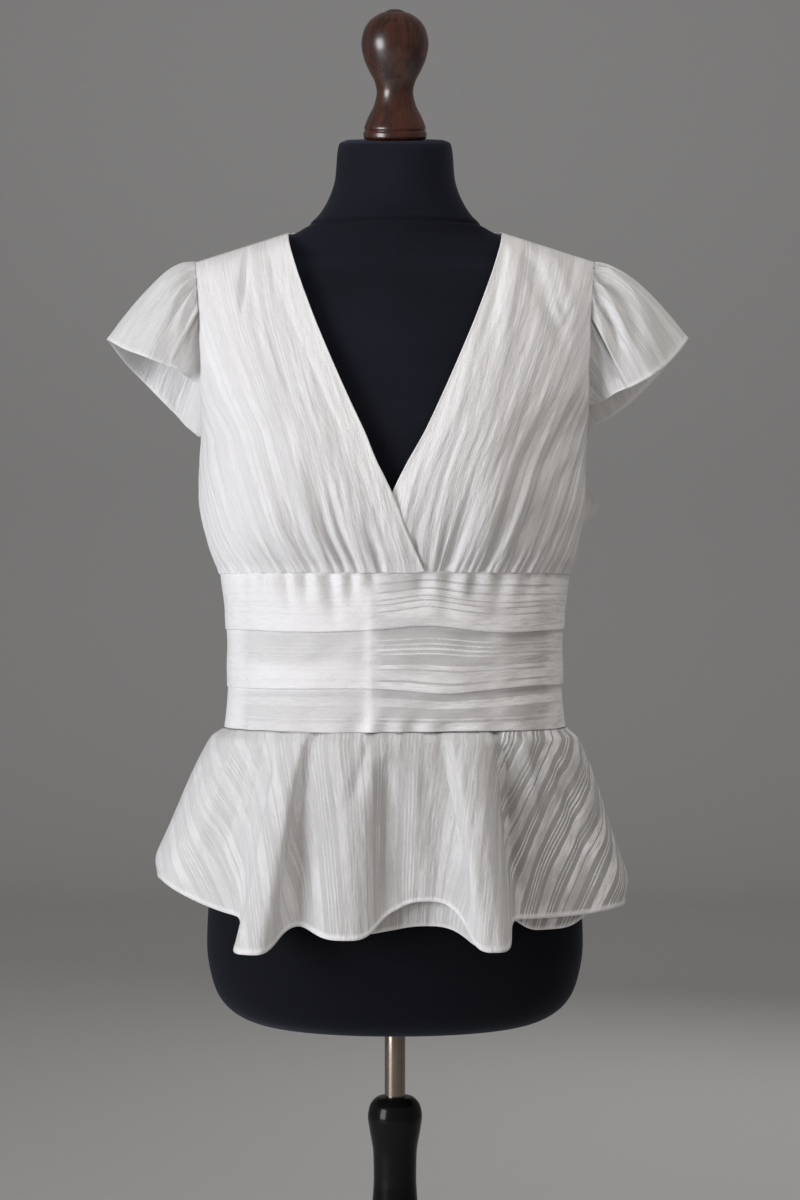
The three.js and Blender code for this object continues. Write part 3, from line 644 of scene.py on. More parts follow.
# %% Sleeves
SLEEVE_HEM = table(
    "x y right_z left_z",
    (183, -33, 1163, 1141), (196, -58, 1171, 1150), (222, -62, 1180, 1162),
    (248, -38, 1193, 1184), (264, 0, 1202, 1203), (252, 38, 1185, 1186),
    (228, 62, 1160, 1160), (202, 62, 1134, 1138), (184, 38, 1117, 1126),
)
SLEEVE_GRID = (56, 150)
SLEEVE_ENDS = {"right": (4.15, 3.25), "left": (3.8, 3.4)}  # levels of the front and the back
SLEEVE_SHEER = {"right": 0.35, "left": 0.6}
SLEEVE_SATIN = {"right": 0.4, "left": 0.8}
STRIPE_START = {"right": 30.0, "left": 62.0}
HALF_WAY_OUT = 30  # the row that measures a sleeve's cut width
HEAD_FOLDS = {  # ridges and troughs that start at the head seam, by their place round the sleeve
    "right": table(
        "at out width reach",
        (0.13, -2.6, 0.010, 0.70), (0.165, 2.4, 0.010, 0.75), (0.20, -3.0, 0.010, 0.70),
        (0.235, 2.6, 0.011, 0.70), (0.268, -3.6, 0.011, 0.75), (0.30, 3.2, 0.012, 0.70),
        (0.333, -3.4, 0.012, 0.70), (0.362, 3.0, 0.012, 0.60), (0.405, -6.0, 0.020, 0.85),
        (0.45, 2.4, 0.014, 0.50), (0.49, 2.6, 0.012, 0.60), (0.525, -3.2, 0.012, 0.60),
        (0.56, 2.8, 0.012, 0.60),
        (0.60, -3.2, 0.012, 0.60), (0.64, 2.4, 0.012, 0.55), (0.68, -2.4, 0.012, 0.50),
        (0.73, 1.6, 0.012, 0.40), (0.77, -1.4, 0.012, 0.40),
    ),
    "left": table(
        "at out width reach",
        (0.155, -3.0, 0.012, 0.55), (0.20, 5.5, 0.017, 0.95), (0.242, -7.0, 0.017, 0.95),
        (0.285, 4.5, 0.016, 0.85), (0.332, -7.5, 0.020, 0.90), (0.392, 6.5, 0.025, 1.00),
        (0.452, -3.4, 0.014, 0.60), (0.478, -2.4, 0.010, 0.40),
        (0.515, 3.0, 0.013, 0.60), (0.555, -3.4, 0.013, 0.60), (0.595, 2.6, 0.013, 0.60),
        (0.64, -3.0, 0.013, 0.55), (0.68, 2.2, 0.013, 0.50), (0.725, -2.0, 0.012, 0.45),
    ),
}


def armhole(ends, around):
    """Points up the front's armhole edge to the shoulder, and down the back's."""
    points = []
    for sections, end, share, sign in (
        (FRONT, ends[0], around * 2, -1),
        (BACK, ends[1], 2 - around * 2, 1),
    ):
        last = len(sections["depth"]) - 1
        level = mix(end, last, np.clip(share, 0, 1))
        x, reach, z = bodice_points(sections, level, np.ones_like(level))
        points.append(np.stack([x, sign * reach, z], -1))
    return np.where((around <= 0.5)[..., None], points[0], points[1])


def head_folds(side_name, around, out):
    """Ridges and troughs that open and lean outward from the head seam, and die out."""
    total = 0
    for at, high, width, reach in zip(*HEAD_FOLDS[side_name].values()):
        lean = 0.055 * out * np.sign(0.5 - at)
        opening = width * (1 + 1.1 * out)
        fade = (1 - smooth(0.25 * reach, reach, out)) * mix(0.2, 1, smooth(0, 0.10, out))
        total = total + high * hill(around, at - lean, opening) * fade
    return total


def sleeve_piece(side_name):
    """A grid from the armhole, at out 0, to the hem, at out 1, made on the wearer's left."""
    side = 1 if side_name == "left" else -1
    ends = SLEEVE_ENDS[side_name]
    around = np.linspace(0, 1, SLEEVE_GRID[1])[None, :]
    out = np.linspace(0, 1, SLEEVE_GRID[0])[:, None] ** 1.15
    around, out = np.broadcast_arrays(around, out)
    tips = read_table(SLEEVE_HEM, around * (len(SLEEVE_HEM["x"]) - 1))
    wider = (5 if side > 0 else 0) * smooth(0, 0.2, around) * (1 - smooth(0.8, 1, around))
    tip = np.stack([tips["x"] + wider, tips["y"], tips[f"{side_name}_z"]], -1)
    edge = armhole(ends, around)
    edge[..., 0] -= 0.2
    run = armhole(ends, np.minimum(around + 0.03, 1)) - armhole(ends, np.maximum(around - 0.03, 0))
    away = np.cross(run, tip - edge)
    away /= np.linalg.norm(away, axis=2, keepdims=True)
    away *= np.where(away[..., :1] + away[..., 2:] < 0, -1, 1)
    puff = 12 * np.sin(math.pi * around) * np.sin(math.pi * out ** 0.72)
    flare = 1.6 * np.sin(around * 2 * math.pi * 4.5 + 0.8) * smooth(0.55, 1, out)
    soft = 0.5 * np.sin(around * 47 + 3 * out) * np.sin(math.pi * out)
    from_hem = (1 - out) * 80
    lip = 0.4 * (1 - smooth(2.6, 3.8, from_hem))
    raised = puff + head_folds(side_name, around, out) + flare + soft + lip
    grid = edge + (tip - edge) * out[..., None] + away * raised[..., None]
    flat_run = np.linalg.norm(np.gradient(grid, axis=1), axis=2)
    width_here = np.cumsum(flat_run, axis=1) - flat_run[:, :1]
    across = np.broadcast_to(width_here[HALF_WAY_OUT][None, :], width_here.shape)
    down = np.cumsum(np.linalg.norm(np.gradient(grid, axis=0), axis=2), axis=0)
    flat = np.stack([across - across[:, -1:] / 2 + STRIPE_START[side_name], down], -1)
    grid = grid * np.array([side, 1, 1])
    middle = np.array([side * 183.0, 0, 0]) + grid * np.array([0, 0, 1]) - np.array([0, 0, 60.0])
    name = f"sleeve_{side_name}"
    sheer = SLEEVE_SHEER[side_name] * mix(1, 0.55, smooth(0.45, 0.6, around))
    satin = SLEEVE_SATIN[side_name]
    hem = 1 - smooth(2.8, 3.6, from_hem)
    piece = cloth_piece(f"{name}_cloth", grid, flat, sheer, satin, hem, thickness=0.5, middle=middle)
    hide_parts(name)
    show_on(piece, sleeve_cloth)


sleeve_piece("right")
sleeve_piece("left")

# %% [markdown]
# ## The tucked waistband
# The band is a strip with two deep tucks, each pressed down so that its fold hides the seam
# below. It is cut across the grain, so its stripes run round the body. A tuck could be a separate
# strip, but one continuous profile is closer to the truth: out and down to a fold, back under it,
# and on into the next tier. The folds sway a little across the front, and the gathers above leave
# shallow dents in the top tier. The wearer's right half is cut from a plainer stretch of cloth,
# and meets the other at a soft ridge left of the centre.

# %% Waistband
BAND = table(
    "z half_width front back squareness",
    (848, 156, 111, 105, 2.3), (885, 153, 110, 104, 2.3),
    (937, 154, 110, 103, 2.3), (989, 160.5, 109, 102, 2.3),
)
BAND_BOTTOM = 848.0
TIERS = ((BAND_TOP, 937.5), (937.5, 885.5), (885.5, BAND_BOTTOM))
CENTRE_RIDGE_X = -21.0


def ring_points(section, turn, out=0.0):
    """A rounded section: turn 0 is the viewer's left side, and 0.25 is the front."""
    angle = 2 * math.pi * turn
    power = 2 / section["squareness"]
    depth = np.where(np.sin(angle) > 0, section["front"], section["back"])
    x = -(section["half_width"] + out) * signed_power(np.cos(angle), power)
    y = -(depth + out) * signed_power(np.sin(angle), power)
    return x, y


def band_profile():
    """Height, how far out, and which tier, down the band and back under each fold."""
    rows = [(BAND_TOP + 1.4, -1.8, 0), (BAND_TOP + 0.2, -0.7, 0)]
    for k, (top, bottom) in enumerate(TIERS):
        last = k == len(TIERS) - 1
        lip = 1.0 if last else 3.0
        tall = top - bottom
        for t in np.linspace(0, 1, 26)[:-1]:
            swell = lip * t ** 2.2 + 1.1 * math.sin(math.pi * t) * (0.6 if last else 1)
            rows.append((top - 0.4 - t * (tall - 0.4), min(swell, lip + 0.5), k))
        if last:
            rows.append((bottom + 0.9, lip, k))
            rows.append((bottom, lip - 0.5, k))
        else:
            rows.append((bottom + 0.5, lip + 0.1, k))
            rows.append((bottom - 0.2, lip - 0.3, k))
            rows.append((bottom + 0.1, lip - 1.3, k))
            rows.append((bottom + 0.9, 0.4, k))
    return np.array(rows)


BAND_SWAYS = table(  # one row for each fold: the crests and dips across the front, seen by x
    "x0 rise0 x1 rise1 x2 rise2",
    (28, 4.0, 100, -2.0, -75, -1.5), (44, -3.6, 132, 2.5, -40, 1.0), (0, 0, 60, 0.6, -60, -0.6),
)
BAND_DENTS = table(  # soft dents and puffs under the gathers, each fading at its own reach
    "x lean width out reach",
    (-128, 3, 5.0, 1.4, 22), (-118, 5, 3.5, -2.2, 28), (-109, 4, 4.0, 1.8, 20), (-98, 6, 3.6, -2.8, 36),
    (-89, 2, 4.0, 2.0, 24), (-80, 4, 3.4, -2.6, 26), (-70, 7, 5.0, 2.4, 36), (-58, 5, 4.6, -3.2, 46),
    (-47, 1, 4.2, 2.0, 24), (-38, 0, 3.6, -2.6, 28), (-29, 2, 4.6, 1.8, 30), (-19, 0, 3.6, -1.8, 22),
    (-6, 0, 6.0, 0.8, 30), (8, -2, 5.0, 0.6, 20), (24, -2, 5.5, -2.2, 40), (36, -1, 5.0, 1.8, 30),
    (50, -3, 6.0, -2.8, 46), (62, -6, 5.0, 2.0, 26), (71, -3, 4.5, -2.0, 34), (83, -5, 5.5, 1.6, 24),
    (95, -4, 5.0, -2.4, 40), (108, -6, 5.0, 1.4, 22), (119, -5, 4.5, -1.6, 34), (131, -3, 5.0, 1.0, 20),
)


def band_dents(x, z, front):
    """Dents under the gathers on the front, and a fine crinkle in the second tier all round."""
    under = BAND_TOP - z
    total = 0
    for at, lean, width, out, reach in zip(*BAND_DENTS.values()):
        fade = 1 - smooth(0.15 * reach, 1.25 * reach, under)
        total = total + out * hill(x, at + lean * under / 40, width * (1 + under / 70)) * fade
    crinkle = 0.5 * np.sin(x / 6.3 + 1.2 * np.sin(z / 11)) * hill(z, 915, 16)
    return np.where(front, total * smooth(0, 3, under), 0) + crinkle


def band_sway(x, z, tier, front):
    """How far the folds swing up and down across the front, shared out between them."""
    reach = np.array(TIERS)[tier.astype(int)]
    share = np.clip((reach[..., 0] - z) / (reach[..., 0] - reach[..., 1]), 0, 1)
    total = 0
    for k, (x0, rise0, x1, rise1, x2, rise2) in enumerate(zip(*BAND_SWAYS.values())):
        line = rise0 * hill(x, x0, 34) + rise1 * hill(x, x1, 34) + rise2 * hill(x, x2, 40)
        total = total + line * (np.where(tier == k, share, 0) + np.where(tier == k + 1, 1 - share, 0))
    return np.where(front, total, 0)


def sheer_on_band(x, depth, front):
    """How strongly the stripes show: hardly on the wearer's right half of the first tier."""
    left_half = mix(0.16, 0.62, smooth(52, 58, depth) * (1 - smooth(80, 92, depth)))
    left_half = (left_half + 0.50 * smooth(112, 118, depth)) * smooth(-146, -128, x)
    right_half = 1 - 0.55 * hill(x, 92, 9) - 0.8 * smooth(132, 146, x)
    ridge = 1 - 0.9 * hill(x, CENTRE_RIDGE_X, 7)
    return np.where(front, mix(left_half, right_half, smooth(-28, -10, x)) * ridge, 0.5)


# %% [markdown]
# ## Sewing the band
# The band's own unevenness is small and of four kinds: a soft ridge where the two stretches of
# cloth meet, a pull at the side seams, puckers over the peplum's seam, and waves that soft cloth
# always has. All of them stop at the upper seam, so that the band meets the gathers cleanly.

# %% Band pieces
def band_unevenness(x, z, front):
    """How far the band stands out by itself, apart from the dents under the gathers."""
    ridge = hill(x, CENTRE_RIDGE_X, 4.5) * smooth(2, 20, BAND_TOP - z) * np.where(front, 1, 0)
    seam_pull = 0.9 * (hill(x, 134, 5) + hill(x, -136, 5))
    pucker = np.sin(x / 5.2 + 1.6 * np.sin(x / 23) + 0.5 * np.sin(z / 7))
    puckers = 1.3 * (0.5 + hill(x, 5, 80)) * pucker * hill(z, BAND_BOTTOM + 2, 11)
    waves = 0.35 * np.sin(x / 17 + z / 9) + 0.25 * np.sin(x / 8.5 - z / 6 + 1)
    return ridge - seam_pull + puckers + waves


def band_piece(name, node, start, end, columns):
    """The front or the back of the band, between two turns round the body."""
    profile = band_profile()
    turn = np.linspace(start, end, columns)[None, :]
    z, out, tier = (profile[:, i][:, None] for i in range(3))
    section = read_table(BAND, np.interp(z, BAND["z"], np.arange(len(BAND["z"]))))
    x, y = ring_points(section, turn, out)
    out = out * (1 - 0.65 * smooth(126, 152, np.abs(x)))
    front = np.broadcast_to(np.full(turn.shape, start < 0.25), x.shape)
    sway = band_sway(x, z, tier, front)
    tied = 1 - hill(z, BAND_TOP, 1.5)
    out = out + (band_dents(x, z, front) + band_unevenness(x, z, front)) * tied
    x, y = ring_points(section, turn, out)
    z = np.broadcast_to(z, x.shape) + sway
    y = y + (-0.15 if start < 0.25 else 0.15)
    grid = np.stack([x, y, z], -1)
    steps = np.hypot(np.diff(profile[:, 0]), np.diff(profile[:, 1]))
    down = np.concatenate([[0], np.cumsum(steps)])[:, None]
    along = np.cumsum(np.hypot(np.gradient(x, axis=1), np.gradient(y, axis=1)), axis=1)
    pushed_up = np.where(front, 3.5 * hill(x, 30, 24) * (1 - smooth(30, 56, down)), 0)
    flat = np.stack([np.broadcast_to(down, x.shape) + pushed_up, along], -1)
    sheer = sheer_on_band(x, np.broadcast_to(down, x.shape), front)
    satin = np.where(front, mix(0.35, 1.0, smooth(-28, -10, x)), 0.7)
    piece = cloth_piece(name, grid, flat, sheer, satin, thickness=0.5)
    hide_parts(node)
    show_on(piece, band_cloth)


band_piece("band_front_cloth", "band_front", 0.0, 0.5, columns=300)
band_piece("band_back_cloth", "band_back", 0.5, 1.0, columns=140)

# %% [markdown]
# ## The peplum and its under layer
# A peplum is cut as part of a ring, so that its hem is far longer than its waist edge, and the
# spare length falls in round folds. Each wave below has its place round the body, its reach, its
# width and the cloth's length there. The flat piece is a ring too: a point at a distance down the
# cloth and an angle round it has a place across the grain, which makes the stripes run straight
# down the centre front and at nearly 45 degrees at the sides. The under layer hangs inside, and
# is longer where it shows.

# %% Peplum sections
WAVES = table(  # drawn is the flank that is drawn in behind the fold: 1 is the later one
    "at reach width length drawn",
    (0.035, 48, 0.066, 152, 0), (0.165, 58, 0.0250, 205, 1), (0.226, 30, 0.021, 184, 0),
    (0.266, 0, 0.022, 147, 0), (0.3035, 56, 0.0215, 201, -1), (0.462, 42, 0.072, 170, 0),
    (0.59, 50, 0.02, 198, 0), (0.655, 34, 0.024, 184, 0), (0.72, 44, 0.022, 190, 0),
    (0.79, 38, 0.024, 184, 0), (0.86, 50, 0.02, 198, 0), (0.925, 30, 0.022, 180, 0),
)
PEPLUM_LOOK = table(  # by the turn: how sheer the ground is, and how strongly the satin stands out
    "turn sheer satin",
    (0, 0.38, 0.6), (0.15, 0.42, 0.6), (0.19, 0.56, 0.55), (0.25, 0.74, 0.5), (0.29, 0.46, 0.45),
    (0.318, 0.42, 0.60), (0.345, 1.0, 1.0), (0.46, 1.0, 1.0), (0.5, 0.85, 0.7), (0.75, 0.7, 0.6),
    (1, 0.38, 0.6),
)
HEM_RING = {"half_width": 181.0, "front": 141.0, "back": 140.0, "squareness": 2.4}
WAIST_RING = {"half_width": 156.0, "front": 111.0, "back": 105.0, "squareness": 2.3}
PEPLUM_TOP = 847.7
PEPLUM_LENGTH = 165.0
CUT_RADIUS = 195.0


def waves_at(turn):
    """How far the folds reach, how far they carry the cloth sideways, and its length there."""
    reach, aside, length = 0 * turn, 0 * turn, 0 * turn + PEPLUM_LENGTH
    for at, out, width, long, drawn in zip(*WAVES.values()):
        gone = (turn - at + 1.5) % 1 - 0.5
        wide = np.where(gone * drawn > 0, 2.2 * width, width)
        reach = reach + out * np.exp(-(np.abs(gone) / width) ** 2.9)
        aside = aside + out * np.exp(-(np.abs(gone) / wide) ** 2.9)
        length = length + (long - PEPLUM_LENGTH) * np.exp(-(np.abs(gone) / width) ** 3.2)
    return reach, aside, length


def ring_away(ring, turn):
    """Level direction out of a ring, from two points close to each side."""
    x0, y0 = ring_points(ring, turn - 0.004)
    x1, y1 = ring_points(ring, turn + 0.004)
    run_x, run_y = x1 - x0, y1 - y0
    length = np.hypot(run_x, run_y)
    return run_y / length, -run_x / length


def outer_peplum(turn, down):
    """A point at a turn round the body and a share of the way down the cloth."""
    waist_x, waist_y = ring_points(WAIST_RING, turn, 1.1)
    hem_x, hem_y = ring_points(HEM_RING, turn)
    reach, aside, length = waves_at(turn)
    away_x, away_y = ring_away(HEM_RING, turn)
    run = np.hypot(hem_x - waist_x, hem_y - waist_y) + reach
    drop = np.sqrt(length ** 2 - run ** 2)
    puff = 6 * smooth(0, 0.06, down) * (1 - smooth(0.1, 0.8, down))
    bend = reach * down ** 0.85 + puff
    x = mix(waist_x, hem_x, down) + away_x * (bend + 1.5 * (aside - reach) * down ** 0.85)
    y = mix(waist_y, hem_y, down) + away_y * bend
    return np.stack([x, y, PEPLUM_TOP - drop * down], -1)


# %% [markdown]
# ## Small folds of the peplum
# Between the waves the cloth breaks into small folds and creases, which a plain wave lacks. Each
# is placed one by one, as the waves are. The under layer follows the outer one with half of their
# depth, and two stretches of it are longer, where the photograph shows it below the hem.

# %% Small folds
SMALL_FOLDS = table(  # soft folds between the waves, fading from the waist or from the hem
    "turn width out high low",
    (0.185, 0.006, -2.2, 0.0, 0.75), (0.199, 0.006, 1.6, 0.0, 0.6), (0.135, 0.007, -1.8, 0.0, 0.5),
    (0.118, 0.006, 1.4, 0.0, 0.4), (0.245, 0.007, -2.0, 0.1, 1.2), (0.262, 0.006, 1.8, 0.2, 1.2),
    (0.279, 0.007, -2.2, 0.0, 1.2), (0.325, 0.006, -2.0, 0.0, 0.6), (0.338, 0.005, 1.6, 0.0, 0.5),
    (0.352, 0.006, -1.6, 0.0, 0.45), (0.37, 0.008, 1.6, 0.0, 0.5), (0.212, 0.006, 1.6, 0.0, 0.4),
    (0.235, 0.005, 1.4, 0.0, 0.5), (0.29, 0.005, 1.6, 0.0, 0.4), (0.08, 0.010, 1.8, 0.2, 1.2),
    (0.41, 0.010, -1.8, 0.2, 1.2), (0.44, 0.009, 1.4, 0.1, 1.2), (0.055, 0.008, -1.4, 0.2, 1.2),
    (0.63, 0.008, 1.6, 0.0, 0.8), (0.69, 0.008, -1.6, 0.0, 0.8), (0.755, 0.008, 1.6, 0.0, 0.9),
    (0.83, 0.008, -1.6, 0.0, 0.8), (0.895, 0.008, 1.4, 0.0, 0.8), (0.56, 0.009, 1.4, 0.1, 1.2),
)
PEPLUM_CREASES = table(  # by thousandths of a turn and by millimetres down the cloth
    "turn0 down0 turn1 down1 width out",
    (186, 2, 192, 160, 6.5, -9.0), (147, 22, 142, 170, 6.5, -5.5), (205, 0, 208, 95, 5.0, 2.2),
    (235, 4, 222, 62, 4.5, -3.4), (246, 40, 249, 170, 6.5, -6.0), (262, 16, 262, 120, 6.0, 2.0),
    (284, 8, 283, 160, 6.5, -8.0), (338, 0, 345, 160, 7.0, -9.5), (362, 0, 372, 100, 7.0, 2.2),
    (120, 6, 104, 110, 6.0, -2.2), (128, 2, 118, 90, 5.0, 2.0), (95, 10, 82, 120, 7.0, 2.2),
    (400, 10, 414, 120, 7.0, -2.4), (604, 10, 606, 150, 7.0, -4.0), (568, 10, 566, 150, 7.0, -4.0),
    (676, 20, 678, 160, 7.0, -4.0), (742, 20, 742, 160, 7.0, -4.0), (812, 20, 812, 160, 7.0, -4.0),
    (880, 10, 880, 160, 7.0, -4.0), (950, 20, 948, 160, 7.0, -3.0),
)
UNDER_SHOWS = table("turn longer width", (0.266, 25, 0.023), (0.372, 14, 0.03))


def small_folds(turn, down):
    """How far the small folds and creases push the cloth out."""
    total = creases_out(PEPLUM_CREASES, turn * 1000, down * PEPLUM_LENGTH)
    for at, width, out, high, low in zip(*SMALL_FOLDS.values()):
        window = smooth(high, high + 0.08, down) * (1 - smooth(low - 0.35, low, down))
        total = total + out * hill(turn, at, width * (0.8 + 0.7 * down)) * window
    return total


def under_extra(turn):
    """How much longer the under layer is than the outer one."""
    extra = -3
    for at, longer, width in zip(*UNDER_SHOWS.values()):
        extra = extra + longer * np.exp(-(((turn - at) / width) ** 4))
    return extra


# %% [markdown]
# ## Sewing the peplum
# One function makes all four pieces, since the under layer is the outer one moved in. At both
# sides the hem curls in towards the body, as it does in the photograph. The cloth's place in its
# flat ring comes from its run along the waist seam, so the stripes meet that seam evenly.

# %% Peplum layers
SIDE_CURL = 15.0
UNDER_GAPS = (2.0, 6.5)  # between the layers, at the waist and at the hem
STRIPE_SHIFT = {"outer": 4, "under": 37}


def ring_cut(turn, down, extra, shift):
    """Places in the flat ring for points of the worn layer."""
    waist_x, waist_y = ring_points(WAIST_RING, turn)
    waist_run = np.hypot(np.gradient(waist_x, axis=1), np.gradient(waist_y, axis=1))
    waist_arc = np.cumsum(waist_run, axis=1)
    waist_arc -= waist_arc[:, -1:] / 2
    _, _, length = waves_at(turn)
    radius = CUT_RADIUS + down * (PEPLUM_LENGTH * 1.05 + 0.2 * (length - PEPLUM_LENGTH) + extra)
    angle = waist_arc / CUT_RADIUS
    return np.stack([radius * np.sin(angle) + shift, radius * np.cos(angle)], -1)


def peplum_layer(layer, half, start, end, rows, columns):
    """The front or back half of the outer or the under layer, between two turns."""
    under = layer == "under"
    turn = np.linspace(start, end, columns)[None, :]
    down = np.linspace(0, 1, rows)[:, None] ** 1.05
    turn, down = np.broadcast_arrays(turn, down)
    grid = outer_peplum(turn, down)
    along = outer_peplum(turn + 0.003, down) - outer_peplum(turn - 0.003, down)
    inward = np.stack([-along[..., 1], along[..., 0]], -1)
    inward /= np.linalg.norm(inward, axis=2, keepdims=True)
    gap = mix(*UNDER_GAPS, down) if under else 0 * down
    at_side = hill((turn + 0.48) % 1, 0.5, 0.055) + hill(turn, 0.48, 0.055)
    curl = SIDE_CURL * smooth(0.76, 1.06, down) ** 2 * at_side
    extra = under_extra(turn) if under else 0 * turn
    from_hem = (1 - down) * 170
    lip = 0.35 * (1 - smooth(2.4, 3.6, from_hem))
    fold = small_folds(turn, down) * (0.5 if under else 1.0)
    grid[..., :2] += inward * (gap + curl - fold - lip)[..., None]
    grid[..., 2] -= extra * down
    grid[:, 0, 1] = grid[:, -1, 1] = -0.15 if half == "front" else 0.15
    flat = ring_cut(turn, down, extra, STRIPE_SHIFT[layer])
    hem = 1 - smooth(2.6, 3.4, from_hem)
    sheer = np.interp(turn, PEPLUM_LOOK["turn"], PEPLUM_LOOK["sheer"])
    satin = np.interp(turn, PEPLUM_LOOK["turn"], PEPLUM_LOOK["satin"])
    node = f"{'under' if under else 'peplum'}_{half}"
    name = f"{node}_cloth"
    piece = cloth_piece(name, grid, flat, sheer, satin, hem, thickness=0.5)
    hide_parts(node)
    show_on(piece, peplum_cloth)


peplum_layer("outer", "front", 0.0, 0.5, rows=64, columns=420)
peplum_layer("outer", "back", 0.5, 1.0, rows=64, columns=300)
peplum_layer("under", "front", 0.0, 0.5, rows=48, columns=300)
peplum_layer("under", "back", 0.5, 1.0, rows=48, columns=220)

# %% [markdown]
# ## The dress form
# The form is hard foam under tight black jersey, with a seam round the neck. A subdivided box
# could be sculpted to it, but its shape is known from sections, so it is lofted from them with
# many more points than the frame has. The neck's upper part leans, so each ring is sheared there
# until the top ring is square to the finial.

# %% Form
FORM = table(
    "z half_width front back squareness",
    (574, 96, 66, 64, 2.1), (578, 126, 88, 84, 2.1), (586, 145, 101, 97, 2.2),
    (598, 158.5, 110, 106, 2.2), (614, 166.5, 116, 112, 2.2), (650, 172.5, 120, 116, 2.2),
    (700, 170, 118, 116, 2.2), (760, 155, 108, 105, 2.2), (815, 137, 97, 91, 2.1),
    (865, 126, 89, 81, 2.1), (920, 127, 89, 81, 2.1), (975, 135, 95, 87, 2.1),
    (1020, 147, 108, 93, 2.2), (1062, 153, 116, 96, 2.3), (1105, 152, 112, 99, 2.3),
    (1150, 152, 99, 101, 2.3), (1200, 157, 82, 97, 2.2), (1240, 166, 63, 84, 2.0),
    (1262, 171.5, 52, 72, 1.7), (1270, 170, 47, 64, 1.5), (1277.5, 163, 43, 58, 1.4),
    (1287, 134, 42, 52, 1.4), (1296, 106, 42, 45.5, 1.5), (1302, 90, 43, 44.5, 1.7),
    (1313, 74.5, 46, 47, 2.0), (1332, 61.5, 49, 53, 2.0), (1352, 55, 49, 52, 2.0),
    (1376, 53, 49, 51, 2.0), (1384, 51, 47, 49, 2.0), (1387, 45, 42, 44, 2.0),
)
NECK_TILT = math.radians(12)
NECK_TOP = 1387.0
NECK_SEAM = 1308.0
FORM_GRID = (260, 132)
SHARP_EDGE = math.radians(50)


def lofted(name, grid, body):
    """A closed solid from rings of points, each ring closed, with a flat cap at each end."""
    rows, columns = grid.shape[:2]
    ids = np.arange(rows * columns).reshape(rows, columns)
    following = np.roll(ids, -1, axis=1)
    quads = np.stack([ids[:-1], following[:-1], following[1:], ids[1:]], -1).reshape(-1, 4)
    points = np.concatenate([grid.reshape(-1, 3), grid[0].mean(0)[None], grid[-1].mean(0)[None]]) * MM
    bottom, top = rows * columns, rows * columns + 1
    fans = [(int(following[0, j]), int(ids[0, j]), bottom) for j in range(columns)]
    fans += [(int(ids[-1, j]), int(following[-1, j]), top) for j in range(columns)]
    piece = smooth_object(name, points.tolist(), quads.tolist() + fans)
    piece.data.validate()
    piece.data.set_sharp_from_angle(angle=SHARP_EDGE)
    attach(piece, body)
    print(f"{name}: {len(piece.data.polygons)} faces")
    return piece


def form_piece():
    """The whole form with its neck, and a groove and a ridge for the seam there."""
    rows, columns = FORM_GRID
    section = read_table(FORM, np.linspace(0, len(FORM["z"]) - 1, rows)[:, None])
    z = section["z"]
    turn = np.linspace(0, 1, columns, endpoint=False)[None, :]
    neck_seam = -1.5 * hill(z, NECK_SEAM, 1.4) + 0.5 * hill(z, NECK_SEAM + 4.5, 2.2)
    x, y = ring_points(section, turn, neck_seam)
    lean = math.tan(NECK_TILT) * smooth(1300, 1357, z)
    grid = np.stack([x, y, z + y * lean], -1)
    piece = lofted("form_jersey", grid, "torso")
    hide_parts("form")
    return piece


form = form_piece()

# %% [markdown]
# ## Black jersey
# The cover is a fine knit with almost no shine: a little sheen catches light along its edges. A
# knit could be modelled stitch by stitch, but its rows are a millimetre and a half apart, so they
# are a bump made of two sines. Its colour has a random dusty tone and specks of lint, and painted
# shade: it is darker towards the bottom, for the hips that the peplum shades.

# %% Jersey
KNIT_ROW = 0.001496  # metres from one row of stitches to the next
KNIT_RIB = 0.0012083


def place_in_metres(wire):
    """The point's own place on the object."""
    return wire.node("ShaderNodeTexCoord", {}, {}, 3)


def jersey_material():
    material, shader, wire = new_material(
        "black_jersey", Sheen_Weight=0.10, Sheen_Roughness=0.45, Sheen_Tint=(0.55, 0.62, 0.80, 1),
        IOR=1.35, Specular_IOR_Level=0.2,
    )
    place = place_in_metres(wire)
    height = wire.node("ShaderNodeSeparateXYZ", {}, {0: place}, 2)
    side = wire.node("ShaderNodeSeparateXYZ", {}, {0: place}, 0)
    rows = (height * (2 * math.pi / KNIT_ROW)).sine() * 0.5 + 0.5
    ribs = (side * (2 * math.pi / KNIT_RIB)).sine() * 0.5 + 0.5
    lint = noise(wire, place, 420.0, 2.0)
    dusty = noise(wire, place, 9.0, 3.0)
    speck = smoothstep(lint, 0.74, 0.82)
    # painted shade: the colour is darker towards the bottom, as the peplum shades the hips
    painted_shade_by_height = smoothstep(height, 0.85, 1.15).between(0.15, 1.0)
    shade = (dusty * 0.5 + speck * 0.35).at_most(1.0) * painted_shade_by_height
    connect(shader, {
        "Base Color": shade.blend((0.0036, 0.0038, 0.0058), (0.0240, 0.0262, 0.0420)),
        "Roughness": dusty.between(0.78, 0.92),
        "Normal": bump(rows * ribs + lint * 0.4, 0.25, 0.0004),
    })
    return material


show_on(form, jersey_material())
print("jersey made, with a row of stitches every", KNIT_ROW * 1000, "mm")

# %% [markdown]
# ## Turned pieces
# The finial, the pole, the post and the foot are all turned, so each is a profile of radius by
# height that is spun round an axis. The profile is read as the cloth's tables are, which rounds
# it between its rows, and a repeated row keeps an edge sharp.

# %% Turning
def spun(profile, sides=96, steps=5):
    """Rings of points round the upright axis, in millimetres."""
    count = len(profile["r"])
    place = np.linspace(0, count - 1, (count - 1) * steps + 1)[:, None]
    row = read_table(profile, place)
    angle = np.linspace(0, 2 * math.pi, sides, endpoint=False)[None, :]
    z = np.broadcast_to(row["z"], (len(place), sides))
    return np.stack([row["r"] * np.cos(angle), row["r"] * np.sin(angle), z], -1)


def turned(name, profile, body, sides=96, steps=5):
    """An upright turned piece on one of the frame's bodies."""
    return lofted(name, spun(profile, sides, steps), body)


